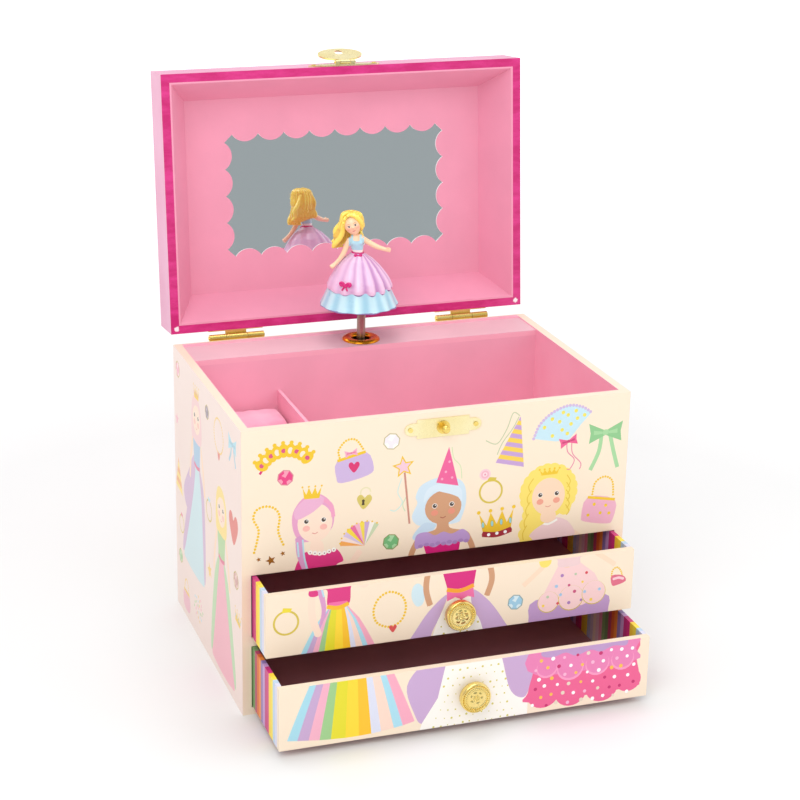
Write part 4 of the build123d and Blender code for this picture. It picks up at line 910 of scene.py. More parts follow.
fan_edge = [(43.8, 116), (46.6, 122.4), (52.4, 127.4), (60, 130), (66.6, 128.8), (71.4, 125.6)]
front.fill(smooth(fan_edge, 5, False) + [(66.4, 120.4), (61.0, 113.8), (54.6, 113.6), (48.8, 114.8)],
           ink("c4e4f0"))
front.beads(fan_edge, 0.75, ink("cdb6dc"), 1.05)
for x, y in ((48.8, 120.8), (52.4, 124.4), (56.0, 122.8), (60.0, 125.6), (63.8, 127.2), (52.8, 116.4),
             (57.4, 118.8),
             (61.6, 121.2), (64.6, 123.6), (57.6, 127.0), (60.0, 116.8), (68.0, 124.8)):
    front.disc(x, y, 0.9, ink("efe05a"), sides=10)
front.line([(60, 112.6), (60.6, 108), (64.0, 104), (62.2, 99.8), (60.6, 99.6)], 0.45, ink("e27a9e"), 6)
front.line([(62.4, 112.8), (63.0, 107), (67.2, 102), (66.8, 99)], 0.45, ink("e27a9e"), 6)
bow(front, 60.8, 113.0, 8.4, ink("ea5c90"), ink("c93a70"), turn=0.2)
bow(front, 78.8, 115.4, 16.0, ink("8cc68a"), ink("a4d49c"), tails=17.5)
purse(front, [(71.6, 84.8), (85.2, 82.2), (84.6, 72.4), (81.4, 70.8), (70.8, 73.0), (68.8, 75.6)],
      ink("eeb0c6"),
      [(73.8, 86), (75.0, 91.6), (79.4, 94.0), (83.4, 91.4), (84.2, 84)],
      [(72.2, 76), (75.0, 81), (82.6, 75.8), (78.2, 76.4), (80.8, 79.8)])
finger_ring(front, -76.6, 53.2, 5.4, ink("f0dc3a", 0.5))
front.beads([(-30.2, 61.4), (-24.6, 58.8), (-22.6, 53.2), (-24.6, 47.2), (-29.8, 44.8), (-35.6, 47.4),
             (-37.4, 53.2),
             (-35.2, 58.8)], 0.62, gold, 1.2, True)
heart(front, -28.4, 43.9, 1.7, ink("dc4a4a"))
gem(front, 28.8, 48.4, 3.8, ink("9ccbe4"), ink("d8ecf4"), ink("8aa4a8", 0.4))
front.beads([(75.0, 54), (75.4, 57.6), (77.6, 58.8), (79.6, 56.6), (80.4, 53.4)], 0.45, gold)
front.blob([(75.0, 55.0), (80.4, 54.6), (82.2, 51.6), (77.6, 50.0), (75.4, 50.4)], ink("e06a84"), 3)
front.line([(75.8, 53.2), (78.6, 53.6), (81.0, 52.8)], 1.2, ink("f7c9d2"))
front.blob([(-66.4, 66.2), (-62.8, 66.2), (-62.9, 64.4), (-66.2, 64.2)], magenta)
print("front picture", len(front.shapes), "shapes")

# %% [markdown]
# Now the picture is cut: one window for the fixed front, over the clasp's plate, and one for each drawer,
# moved forward to where the drawer stands.

# %% The front sheets
half_width, half_depth = 0.090, 0.0616
lo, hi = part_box("front_board")
cut_sheet("front_print", front, (-90, lo.z / mm, 90, hi.z / mm), (0, -half_depth, 0), (1, 0, 0), (0, 0, 1),
                        "case")
for drawer in ("upper_drawer", "lower_drawer"):
    lo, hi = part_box(drawer + "_front")
    cut_sheet(drawer + "_print", front, (lo.x / mm, lo.z / mm, hi.x / mm, hi.z / mm), (0, lo.y, 0), (1, 0, 0),
              (0, 0, 1),
              drawer)

# %% [markdown]
# ## The doll
# The figure is a small resin casting, brush painted. It is built in its own upright frame in millimetres,
# x to its left hand, y to its back and z up from the deck, and turned and set down on its spindle once.
# Paint on a casting is satin and is hand-applied, so every paint here drifts a little and has a very
# slight orange-peel relief. The darker paint in the hair's grooves and the skirts' folds is painted shade.

# %% The doll's frame and paints
spindle_low, spindle_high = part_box("figure_spindle")
doll_axis = (spindle_low + spindle_high) / 2
deck_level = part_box("music_deck")[1].z
doll_turn = math.radians(-18.5)
casting_offset = Matrix.Translation((-1.2, 0.0, 2.4))
doll_place = (Matrix.Translation((doll_axis.x, doll_axis.y, deck_level)) @ Matrix.Rotation(doll_turn, 4, "Z")
              @ Matrix.Scale(mm, 4) @ casting_offset)

paint_coat = Finish("doll_paint", roughness=0.32, coat_weight=0.35, coat_roughness=0.15)
brushed_on = paint_coat.node("Attribute", {"attribute_name": "ink"}, out="Color")
drift = paint_coat.noise(0.004, 3.0)
grain = paint_coat.noise(0.0009, 3.0)
brushed_on = paint_coat.mix(paint_coat.ramp(drift, 0.3, 0.7, (0.0, 0.12)), brushed_on, paint("ead0e4"),
                            "MULTIPLY")
paint_coat.set(base_color=brushed_on, roughness=paint_coat.ramp(drift, 0.3, 0.7, (0.26, 0.4)))
paint_coat.bump(grain, 0.00004, 0.4)


def painted_mesh(name, points, faces, colour_of, body="doll", place=doll_place):
    """A mesh in the doll's millimetres, with a paint for each point, set in place and smooth."""
    mesh = bpy.data.meshes.new(name)
    mesh.from_pydata([place @ Vector(p) for p in points], [], faces)
    shades = np.array([colour_of(p) for p in points], np.float32)
    return finish_painted(name, mesh, shades, body)


def finish_painted(name, mesh, shades, body="doll"):
    layer = mesh.color_attributes.new("ink", "FLOAT_COLOR", "POINT")
    layer.data.foreach_set("color", shades.ravel())
    mesh.polygons.foreach_set("use_smooth", [True] * len(mesh.polygons))
    made = placed(name, mesh)
    wear(made, paint_coat)
    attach(made, body)
    print(name, "points", len(mesh.vertices))
    return made


def blend_ink(a, b, share):
    share = max(0.0, min(1.0, share))
    return tuple(x + (y - x) * share for x, y in zip(a, b))


def turned_cloth(rings, columns, at):
    """Points and faces of a closed shell turned round the axis: at(row, angle) gives each point."""
    points = [at(row, 2 * math.pi * c / columns) for row in range(rings) for c in range(columns)]
    faces = [(r * columns + c, r * columns + (c + 1) % columns, (r + 1) % rings * columns + (c + 1) % columns,
              (r + 1) % rings * columns + c) for r in range(rings) for c in range(columns)]
    return points, faces


print("doll stands at", [round(v, 4) for v in doll_axis[:2]], "on", round(deck_level, 4))

# %% [markdown]
# Both skirts are surfaces of revolution whose radius ripples with the angle. The ripple grows towards the
# hem, as gathered cloth does, and is deeper on the doll's left. The underskirt goes under its own hem and
# up inside to the spindle, and both are closed shells, as castings are.

# %% Skirts
def lerp_profile(profile, t):
    place = t * (len(profile) - 1)
    i = min(int(place), len(profile) - 2)
    (ra, za), (rb, zb) = profile[i], profile[i + 1]
    k = place - i
    k = k * k * (3 - 2 * k) * 0.35 + k * 0.65
    return ra + (rb - ra) * k, za + (zb - za) * k


def fold(angle, count, depth, phase, sharp=0.35):
    """A pleat: rounded outside and tighter inside."""
    wave = math.sin(count * angle + phase + 0.6 * math.sin(2 * angle + phase))
    return depth * (wave - sharp * (1 - wave) * (1 - wave) * 0.5)


pale_blue, petticoat_fold_shade, outline = ink("c8f0f8"), ink("a4d8ea"), ink("8a78b0")
petticoat_profile = [(2.2, 24.0), (13.0, 25.0), (14.7, 24.4), (16.2, 20.8), (17.5, 17.9), (18.5, 16.0),
                     (18.7, 15.4),
                     (18.0, 15.4), (15.6, 18.2), (9.0, 21.2), (2.2, 22.0)]


petticoat_rows, petticoat_folds = 56, 15


def petticoat_at(row, angle):
    r, z = lerp_profile(petticoat_profile, row / petticoat_rows)
    share = min(1.0, max(0.0, (24.2 - z) / 8.5)) * min(1.0, r / 14)
    side = 0.65 + 0.35 * math.cos(angle + 0.5)
    r += fold(angle, petticoat_folds, 0.3, 0.7) * share * side
    z += 0.22 * math.sin(7 * angle + 1.0) * share
    return r * math.cos(angle), r * math.sin(angle), z


def petticoat_paint(p):
    r, angle = math.hypot(p[0], p[1]), math.atan2(p[1], p[0])
    dip = fold(angle, petticoat_folds, 1.0, 0.7)
    # painted shade: the petticoat's fold troughs take a darker blue, its crests a paler one
    shade = blend_ink(petticoat_fold_shade, pale_blue, 0.62 + 0.45 * dip)
    return blend_ink(shade, outline, 1.0 if p[2] < 15.8 and r > 17 else 0.0)


points, faces = turned_cloth(petticoat_rows + 1, 220, petticoat_at)
petticoat = painted_mesh("petticoat_cast", points, [f[::-1] for f in faces], petticoat_paint)
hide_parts("petticoat")

lilac_paint, overskirt_fold_shade = ink("f0cce8"), ink("c894c8")
overskirt_profile = [(2.5, 40.9), (4.0, 39.9), (7.2, 37.6), (10.0, 34.6), (12.2, 31.4), (14.2, 28.2),
                     (15.4, 25.4),
                     (15.5, 24.0), (14.9, 23.2), (13.6, 23.6), (12.0, 24.8),
                     (11.0, 26.4), (6.5, 34.0), (2.0, 39.6)]


overskirt_rows, pleats = 78, 15


def pleat_share(angle):
    """How deep the pleats are: all but none on the doll's right, full on her left."""
    return 0.15 + 0.85 * min(1.0, max(0.0, 0.45 + 0.7 * math.cos(angle + 0.25)))


def hem_drop(angle):
    return 0.2 * math.sin(pleats * angle + 0.4) * pleat_share(angle) + 0.3 * math.sin(5 * angle)


def overskirt_at(row, angle):
    r, z = lerp_profile(overskirt_profile, row / overskirt_rows)
    share = min(1.0, max(0.0, (40.5 - z) / 17)) ** 0.8
    centre = -0.9 * min(1.0, max(0.0, (z - 30) / 10))
    r += fold(angle, pleats, 0.6, 0.4, 0.6) * share * pleat_share(angle)
    z -= hem_drop(angle) * share ** 3
    return centre + r * math.cos(angle), r * math.sin(angle), z


def overskirt_paint(p):
    angle = math.atan2(p[1], p[0])
    crest = fold(angle, pleats, 1.0, 0.4, 0.6) * pleat_share(angle)
    # painted shade: the pleats' valleys take a darker lilac, their crests the pale lilac
    shade = blend_ink(overskirt_fold_shade, lilac_paint, 0.8 + 0.4 * crest)
    return blend_ink(shade, ink("8c5ca6"), 1.0 if p[2] < 23.75 - hem_drop(angle) else 0.0)


points, faces = turned_cloth(overskirt_rows + 1, 260, overskirt_at)
overskirt = painted_mesh("overskirt_cast", points, [f[::-1] for f in faces], overskirt_paint)
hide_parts("overskirt")

# %% [markdown]
# ## Body, arms and head
# A casting has no seams, so the body is roughed out from overlapping closed tubes and balls and then made
# one skin by a voxel remesh, like clay pressed together, and smoothed. Its paint is worked out afterwards
# from where each point lies: bodice below the neckline, skin above and on the arms.

# %% Clay helpers
def tube(rings, sides=20):
    """A closed tube through rings, each (centre, half width, half depth), with rounded ends."""
    points, faces = [], []
    for index, (centre, across, deep) in enumerate(rings):
        before = Vector(rings[max(0, index - 1)][0])
        after = Vector(rings[min(len(rings) - 1, index + 1)][0])
        along = (after - before).normalized()
        side = along.cross(Vector((0, 1, 0))).normalized()
        front_way = side.cross(along).normalized()
        for k in range(sides):
            a = 2 * math.pi * k / sides
            points.append(Vector(centre) + side * across * math.cos(a) + front_way * deep * math.sin(a))
    for r in range(len(rings) - 1):
        for k in range(sides):
            faces.append((r * sides + k, r * sides + (k + 1) % sides, (r + 1) * sides + (k + 1) % sides,
                          (r + 1) * sides + k))
    faces.append(tuple(range(sides))[::-1])
    faces.append(tuple(range((len(rings) - 1) * sides, len(rings) * sides)))
    return points, faces


def ball(centre, rx, ry, rz, rows=14, sides=22):
    rings = []
    for i in range(1, rows):
        a = math.pi * i / rows
        rings.append((Vector(centre) + Vector((0, 0, -rz * math.cos(a))), rx * math.sin(a), ry * math.sin(a)))
    return tube(rings, sides)


def limb(path, widths, steps=5, flat=1.0):
    """A tapering limb along a smooth path."""
    xs = smooth([(p[0], p[2]) for p in path], steps, False)
    ys = smooth([(p[1], w) for p, w in zip(path, widths)], steps, False)
    rings = [((a[0], b[0], a[1]), b[1], b[1] * flat) for a, b in zip(xs, ys)]
    first, last = rings[0], rings[-1]
    return tube([(first[0], first[1] * 0.5, first[2] * 0.5)] + rings[1:-1] + [last,
                (tuple(Vector(last[0]) + (Vector(last[0]) - Vector(rings[-2][0])) * 0.55), last[1] * 0.5,
                 last[2] * 0.5)])


def pressed_together(name, parts, voxel, smoothing):
    """The parts as one smooth skin, in the doll's millimetres."""
    points, faces = [], []
    for part_points, part_faces in parts:
        faces.extend(tuple(i + len(points) for i in f) for f in part_faces)
        points.extend(part_points)
    mesh = bpy.data.meshes.new(name)
    mesh.from_pydata(points, [], faces)
    work = bmesh.new()
    work.from_mesh(mesh)
    bmesh.ops.recalc_face_normals(work, faces=work.faces)
    work.to_mesh(mesh)
    work.free()
    made = placed(name, mesh)
    remesh = made.modifiers.new("clay", "REMESH")
    remesh.mode, remesh.voxel_size = "VOXEL", voxel
    relax = made.modifiers.new("relax", "SMOOTH")
    relax.factor, relax.iterations = 0.5, smoothing
    skin = bpy.data.meshes.new_from_object(made.evaluated_get(bpy.context.evaluated_depsgraph_get()))
    bpy.data.objects.remove(made)
    return skin


def set_down(name, skin, colour_of, body="doll", place=doll_place):
    shades = np.array([colour_of(v.co) for v in skin.vertices], np.float32)
    skin.transform(place)
    skin.name = name
    return finish_painted(name, skin, shades, body)


print("clay helpers ready")

# %% Torso, neck and arms
skin_paint, under_chin_shade, blue_bodice = ink("fdd6ae"), ink("f6b294"), ink("b4e4f2")
torso = tube([((-0.7, 0, 39.6), 2.5, 2.1), ((-0.7, 0, 41.0), 2.5, 2.1), ((-1.0, 0, 43.2), 2.9, 2.3),
              ((-1.3, -0.2, 45.4), 3.3, 2.6), ((-1.5, -0.2, 46.8), 3.5, 2.5), ((-1.7, 0, 47.9), 3.7, 2.1),
              ((-1.9, 0.1, 49.0), 2.9, 1.7), ((-2.0, 0.1, 49.8), 1.8, 1.4)])
bust = [ball((-1.4 + side * 1.45, -1.7, 45.9), 1.5, 1.1, 1.4) for side in (-1, 1)]
neck = tube([((-2.2, 0.2, 49.0), 1.5, 1.4), ((-2.5, 0.1, 51.0), 1.35, 1.3), ((-2.8, 0, 53.0), 1.4, 1.4)])
far_arm = limb([(0.8, 0.2, 47.8), (3.8, -0.4, 46.2), (8.0, -1.6, 44.2), (11.8, -2.6, 43.2),
                (14.6, -3.2, 42.9)],
               [1.5, 1.35, 1.25, 1.0, 1.15])
near_arm = limb([(-4.4, 0.2, 47.6), (-5.8, -0.4, 44.8), (-7.6, -1.6, 40.6), (-10.4, -2.8, 36.8),
                 (-13.4, -3.6, 34.2)],
                [1.5, 1.35, 1.25, 1.0, 1.2])
thumbs = [limb([(12.6, -3.0, 43.4), (13.4, -3.7, 44.0), (14.0, -4.0, 44.2)], [0.5, 0.45, 0.35]),
          limb([(-11.8, -3.6, 35.8), (-12.0, -4.5, 35.0), (-12.4, -5.0, 34.4)], [0.5, 0.45, 0.35])]
body_skin = pressed_together("doll_figure", [torso, *bust, neck, far_arm, near_arm, *thumbs], 0.2, 6)


def body_paint(p):
    x = p[0] + 1.5
    neckline = 46.9 + 0.14 * x * x
    strap = 1.5 < abs(x) < 2.5 and p[2] < 49.6
    on_torso = abs(x) < 3.6 - 0.2 * max(0.0, 45.0 - p[2])
    if on_torso and (p[2] < neckline or strap):
        if p[2] < 42.4:
            return ink("fdfbf8")
        return blend_ink(blue_bodice, ink("8ccbe0"), 0.5 if abs(neckline - p[2]) < 0.2 and not strap else 0.0)
    # painted shade: the neck just under the head is painted a darker skin
    return blend_ink(skin_paint, under_chin_shade, 0.35 if p[2] > 49.6 else 0.0)


figure = set_down("figure_cast", body_skin, body_paint)
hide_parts("doll_body")

# %% [markdown]
# The head is an egg with a small nose and chin. The face is painted: two eyes with lids and a glint, light
# brows, a small mouth and blushed cheeks. The mesh is fine enough there to carry the painted edges.

# %% Head and painted face
head_at = Vector((-3.4, -0.9, 54.4))
head_lean = Matrix.Rotation(math.radians(-19), 3, "Y")


rows, columns = 220, 260
points, faces = [], []
for i in range(1, rows):
    a = math.pi * i / rows
    for k in range(columns):
        b = 2 * math.pi * k / columns
        u, w, v = math.sin(a) * math.cos(b), math.sin(a) * math.sin(b), -math.cos(a)
        narrow = 1.0 - 0.2 * max(0.0, -v - 0.1)
        p = Vector((4.0 * u * narrow, 4.1 * w * narrow, 4.9 * v))
        if w < 0:
            nose = math.exp(-((p.x) ** 2 / 0.22 + (p.z + 0.4) ** 2 / 0.5))
            chin = math.exp(-((p.x) ** 2 / 1.1 + (p.z + 3.9) ** 2 / 0.7))
            socket = sum(math.exp(-((p.x - s * 1.55) ** 2 / 0.7 + (p.z - 0.55) ** 2 / 0.35)) for s in (-1, 1))
            p.y -= 0.55 * nose + 0.25 * chin - 0.14 * socket
        points.append(p)
for r in range(rows - 2):
    for k in range(columns):
        faces.append((r * columns + k, r * columns + (k + 1) % columns, (r + 1) * columns + (k + 1) % columns,
                      (r + 1) * columns + k))
faces.append(tuple(range(columns))[::-1])
faces.append(tuple(range((rows - 2) * columns, (rows - 1) * columns)))


def face_paint(p):
    shade = skin_paint
    cheeks = sum(math.exp(-((p[0] - s * 2.3) ** 2 / 0.9 + (p[2] + 1.1) ** 2 / 0.6)) for s in (-1, 1))
    shade = blend_ink(shade, ink("f19a86"), 0.55 * min(1.0, cheeks))
    if p[1] > 0:
        return shade
    for s in (-1, 1):
        x, z = (p[0] - s * 1.55) * s, p[2] - 0.45
        if (x / 0.66) ** 2 + (z / 0.46) ** 2 < 1:
            shade = ink("fbf7f2")
        if (x / 0.42) ** 2 + (z / 0.46) ** 2 < 1:
            shade = ink("4a3024")
        if (x + 0.1) ** 2 + (z - 0.15) ** 2 < 0.012:
            shade = ink("ffffff")
        if abs(z - 0.42 + 0.35 * x * x) < 0.1 and abs(x) < 0.7:
            shade = ink("6b4030")
        if abs(z - 1.15 + 0.3 * (x - 0.1) ** 2) < 0.09 and abs(x - 0.05) < 0.75:
            shade = ink("c08a50")
    mouth = p[2] + 2.25 - 0.22 * p[0] ** 2
    if abs(p[0]) < 0.85 and abs(mouth) < 0.2 * (1.05 - abs(p[0])):
        shade = ink("d8405a")
    return shade


head_place = doll_place @ Matrix.Translation(head_at) @ head_lean.to_4x4()
painted_mesh("head_cast", points, faces, face_paint, place=head_place)

# %% [markdown]
# ## Hair
# Moulded hair is a mass with locks raked into it. A cap and some forty thick, wavy locks are pressed
# together with the same clay step, at a voxel small enough to keep the valleys between the locks. The
# grooves are painted darker, as painted shade: a point that is as near to a second lock as to its own
# lies in a groove, and is pressed in and painted in shade.

# %% Hair
hair_rng = random.Random(7)
gold_hair, hair_groove_shade = ink("ffec68"), ink("f0be3a")
hair_parts = [ball((-3.7, 1.0, 55.6), 4.6, 4.2, 5.2)]
locks = []


def lock(path, widths):
    locks.append(path)
    hair_parts.append(limb(path, widths, 6))


for k in range(15):
    a = math.radians(-18 + k * 15.6)
    x, y = math.cos(a), math.sin(a)
    wave = hair_rng.uniform(-0.7, 0.7)
    short = 2.6 * max(0.0, x)
    lock([(-4.4 + 1.2 * x, 0.4 + 1.2 * y, 60.6), (-4.0 + 3.9 * x, 0.8 + 3.7 * y, 58.9),
          (-3.8 + 4.7 * x, 1.0 + 4.7 * y, 55.6),
          (-4.3 + 4.7 * x + wave * 0.6, 1.6 + 4.8 * y, 52.8 + 0.4 * short),
          (-5.2 + 4.1 * x - wave, 2.4 + 3.9 * y, 49.8 + short + hair_rng.uniform(-0.6, 0.6))],
         [0.8, 1.2, 1.3, 1.25, 0.7])
for k in range(13):
    x = -10.6 + k * 0.95
    wave = hair_rng.uniform(0.4, 1.0)
    sweep = -3.6 + 0.12 * k
    lock([(x * 0.55 - 1.2, 4.6, 57.0), (x * 0.8 - 0.6, 5.6, 53.2), (x - wave, 5.8 - 0.1 * k, 49.8),
          (x + sweep * 0.35 + wave, 5.2, 46.4), (x + sweep * 0.6 - 0.4, 4.2, 43.4 + 0.3 * abs(k - 4))],
         [1.0, 1.35, 1.4, 1.25, 0.6])
for k in range(7):
    shift = k * 0.62
    reach = 0.75 * k
    lock([(-6.4 - 0.2 * k, -2.0 + shift, 57.6), (-8.0, -1.4 + shift, 54.4),
          (-8.2 - 0.2 * k, -0.6 + shift, 51.0),
          (-9.6 - 0.28 * k, -0.2 + shift, 47.6), (-11.8 + 0.45 * reach, 0.4 + shift, 44.6),
          (-12.6 + reach, 0.8 + shift, 42.6 - 0.05 * k)], [0.8, 1.2, 1.4, 1.45, 1.35, 0.7])
for k in range(3):
    lock([(-4.6 + 0.5 * k, -2.8 + k, 59.9), (-1.6 + 0.4 * k, -3.2 + k, 58.9), (0.4 + 0.2 * k, -2.6 + k, 56.4),
          (1.0 + 0.2 * k, -1.4 + k, 53.6), (0.8, 0.2 + k, 51.6)], [0.8, 1.1, 1.15, 1.0, 0.5])
for k in range(13):
    a = math.radians(8 + k * 13.6)
    centre = head_at + head_lean @ Vector((4.0 * math.cos(a), -1.5 - 0.6 * math.sin(a),
                                           0.9 + 4.5 * math.sin(a)))
    twist = 0.35 * (-1) ** k
    hair_parts.append(ball(centre + Vector((0, twist * 0.6, 0)), 0.85, 0.85, 0.85, 8, 12))
hair_skin = pressed_together("doll_hair", hair_parts, 0.24, 3)


# %% Grooves between the locks
def nearest(path, places):
    """Distance from each place to a lock's path."""
    steps = np.linspace(0, len(path) - 1, 33)
    line = np.stack([np.interp(steps, range(len(path)), [p[i] for p in path]) for i in range(3)], 1)
    return np.sqrt(((places[:, None, :] - line[None]) ** 2).sum(2)).min(1)


places = np.array([v.co for v in hair_skin.vertices])
to_locks = np.sort(np.array([nearest(path, places) for path in locks]), axis=0)
crest = np.clip((to_locks[1] - to_locks[0]) / 0.45, 0, 1)
for vertex, height in zip(hair_skin.vertices, crest):
    vertex.co -= vertex.normal * (0.32 * (1 - height))
# painted shade: grooves take the darker hair colour, crests the full gold
paints = iter([blend_ink(hair_groove_shade, gold_hair, 0.15 + 1.1 * height) for height in crest])
hair = set_down("hair_cast", hair_skin, lambda p: next(paints))
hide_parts("hair")

# %% [markdown]
# A thin sash with a bow goes round the waist, and a second bow sits low on the skirt. Both are ribbons:
# loops and tails along short paths, pressed together like the rest.

# %% Sash and bows
def ribbon_bow(centre, size, out_way, tails=1.0):
    """A two-loop bow that lies against the surface that looks along out_way."""
    out_way = Vector(out_way).normalized()
    side = Vector((0, 0, 1)).cross(out_way).normalized()
    rise = out_way.cross(side)
    at = lambda u, v, w: tuple(Vector(centre) + side * u * size + rise * v * size + out_way * w * size)
    parts = [ball(at(0, 0, 0.12), 0.28 * size, 0.28 * size, 0.26 * size, 8, 12)]
    for s in (-1, 1):
        loop = [at(0, 0, 0.1), at(s * 0.55, 0.38, 0.2), at(s * 1.05, 0.3, 0.12), at(s * 0.85, -0.12, 0.1),
                at(0, 0, 0.1)]
        parts.append(limb(loop, [0.16 * size, 0.26 * size, 0.32 * size, 0.28 * size, 0.16 * size]))
        tail = [at(0, 0, 0.08), at(s * 0.3, -0.6 * tails, 0.1), at(s * 0.6, -1.1 * tails, 0.04)]
        parts.append(limb(tail, [0.14 * size, 0.18 * size, 0.16 * size]))
    return parts


sash_ring = [((-0.8 + 2.75 * math.cos(a), 2.35 * math.sin(a), 40.9 - 0.15 * math.cos(a)), 0.42, 0.42)
             for a in [2 * math.pi * k / 40 for k in range(41)]]
sash_parts = [tube(sash_ring, 10)] + ribbon_bow((-0.6, -3.5, 39.9), 1.5, (0.1, -1, 0.4), 0.8)
angle = math.radians(-116)
low = Vector((14.6 * math.cos(angle), 14.6 * math.sin(angle), 28.2))
sash_parts += ribbon_bow(low, 2.4, (math.cos(angle), math.sin(angle), 0.3))
ribbons = pressed_together("doll_ribbons", sash_parts, 0.12, 2)
set_down("doll_ribbons", ribbons, lambda p: ink("d8157c"))

# %% [markdown]
# ## Ring rolls
# The ring holder is soft foam wrapped in flocked cloth and tucked into slits. Each roll swells between its
# slits and rounds off at both ends, so its top is a height worked out over a fine grid. The grid's rim runs
# down to a flat underside, which makes one closed cushion.

# %% Ring rolls
pad_low, pad_high = (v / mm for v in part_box("ring_pad"))
roll_count = 4
roll_pitch = (pad_high.y - pad_low.y) / roll_count
pad_margin = 0.15


def pad_top(x, y):
    """The cushion's height in millimetres above its underside."""
    full = pad_high.z - pad_low.z
    across = ((y - pad_low.y) / roll_pitch) % 1.0 * 2 - 1
    end = max(0.0, 1 - (min(x - pad_low.x, pad_high.x - x) + 0.05) / 5.0)
    swell = max(0.0, 1 - abs(across) ** 6) ** (1 / 3)
    rounded = max(0.0, 1 - end ** 3.2) ** (1 / 2.4)
    dimple = 0.12 * math.sin(0.9 * x + 2.0 * math.floor((y - pad_low.y) / roll_pitch))
    return full * (0.36 + 0.64 * swell * (0.55 + 0.45 * rounded)) - 0.2 + dimple * swell


columns, rows_each = 80, 36
pad_width = pad_high.x - pad_low.x - 2 * pad_margin
xs = [pad_low.x + pad_margin + pad_width * (0.5 - 0.5 * math.cos(math.pi * i / columns))
      for i in range(columns + 1)]
ys = []
for roll in range(roll_count):
    ys += [pad_low.y + (roll + 0.5 - 0.499 * math.cos(math.pi * j / rows_each)) * roll_pitch
           for j in range(rows_each + 1)]
ys[0], ys[-1] = pad_low.y + pad_margin, pad_high.y - pad_margin
points = [(x * mm, y * mm, (pad_low.z + pad_top(x, y)) * mm) for y in ys for x in xs]
width = columns + 1
faces = [(r * width + c, r * width + c + 1, (r + 1) * width + c + 1, (r + 1) * width + c)
         for r in range(len(ys) - 1) for c in range(columns)]
rim = ([c for c in range(width)] + [r * width + columns for r in range(1, len(ys))]
       + [(len(ys) - 1) * width + c for c in range(columns - 1, -1, -1)]
       + [r * width for r in range(len(ys) - 2, 0, -1)])
foot = len(points)
points += [(points[i][0], points[i][1], (pad_low.z + 0.1) * mm) for i in rim]
for k in range(len(rim)):
    n = (k + 1) % len(rim)
    faces.append((rim[k], foot + k, foot + n, rim[n]))
faces.append(tuple(range(foot, foot + len(rim)))[::-1])

flocked = Finish("flocked_foam", roughness=0.85, sheen_weight=0.35, sheen_roughness=0.5)
nap = flocked.noise(0.0007, 5.0, (1, 1, 1), 0.7)
strokes = flocked.noise(0.009, 3.0)
flocked.set(base_color=flocked.mix(flocked.ramp(strokes, 0.3, 0.7), paint("f5a8c2"), paint("fbbcd0")),
            roughness=flocked.ramp(nap, 0.3, 0.7, (0.75, 0.95)))
flocked.bump(nap * 0.7 + strokes * 0.3, 0.0001, 0.7)


def add_mesh(name, points, faces, finish, body, smooth_faces=True):
    mesh = bpy.data.meshes.new(name)
    mesh.from_pydata(points, [], faces)
    mesh.polygons.foreach_set("use_smooth", [smooth_faces] * len(faces))
    made = placed(name, mesh)
    wear(made, finish)
    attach(made, body)
    print(name, "points", len(points))
    return made


rolls = add_mesh("ring_rolls", points, faces, flocked, "case")
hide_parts("ring_pad")

# %% [markdown]
# ## Turned and struck metal
# The grommet and the knobs are round, so both start as a profile turned about an axis. The knobs are
# struck with a medallion: the turned face is pushed in and out by a pattern of the radius and the angle,
# with a rope ring and a rose with six petals.

# %% Turned pieces
def turned(profile, centre, axis, sides, relief=None):
    """A closed solid turned from (radius, height) pairs in millimetres; axis is the way height grows."""
    axis = Vector(axis)
    first = axis.orthogonal().normalized()
    second = axis.cross(first)
    points, faces = [], []
    rings = []
    for r, h in profile:
        if r < 1e-6:
            rings.append([len(points)] * sides)
            points.append(Vector(centre) + axis * (h + (relief(0, 0, h) if relief else 0)) * mm)
            continue
        rings.append(list(range(len(points), len(points) + sides)))
        for k in range(sides):
            a = 2 * math.pi * k / sides
            lift = relief(r, a, h) if relief else 0
            spoke = first * r * math.cos(a) + second * r * math.sin(a)
            points.append(Vector(centre) + (spoke + axis * (h + lift)) * mm)
    for low_ring, high_ring in zip(rings, rings[1:] + ([rings[0]] if profile[0][0] > 1e-6 else [])):
        for k in range(sides):
            n = (k + 1) % sides
            corner = [low_ring[k], low_ring[n], high_ring[n], high_ring[k]]
            face = [i for j, i in enumerate(corner) if i != corner[j - 1]]
            if len(face) > 2:
                faces.append(tuple(face))
    return points, faces


low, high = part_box("grommet")
ring_middle = ((low.x + high.x) / 2, (low.y + high.y) / 2, deck_level)
quarter = [math.pi / 2 * k / 8 for k in range(9)]
flange = [(9.1 - 2.1 * (1 - math.cos(t)), 0.15 + 1.3 * math.sin(t)) for t in quarter]
eye = [(4.45 + 2.2 * (1 - math.sin(t)), 0.1 + 1.35 * math.cos(t)) for t in quarter]
barrel_foot = (low.z - deck_level) / mm
profile = [(5.05, barrel_foot), (5.05, 0.02), (9.1, 0.02)] + flange + eye + [(4.45, barrel_foot)]
points, faces = turned(profile, ring_middle, (0, 0, 1), 96)
grommet = add_mesh("grommet_ring", points, faces, grommet_gold, "case")
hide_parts("grommet")


def medallion(r, angle, h):
    """Relief of the knob's face in millimetres, only where the profile is its front."""
    if h < 5.0 or r > 6.2:
        return 0.0
    lift = 0.0
    if 4.1 < r < 5.0:
        lift = 0.34 * math.sin(math.pi * (r - 4.1) / 0.9) * (0.7 + 0.3 * math.sin(34 * angle + 5 * r))
    elif r < 3.9:
        petal = abs(math.cos(3 * angle))
        outer = math.exp(-((r - 2.5) ** 2) / 0.5) * petal
        inner = math.exp(-((r - 1.1) ** 2) / 0.2) * abs(math.sin(3 * angle))
        lift = 0.42 * outer + 0.42 * inner + 0.45 * math.exp(-r * r / 0.12)
    return lift


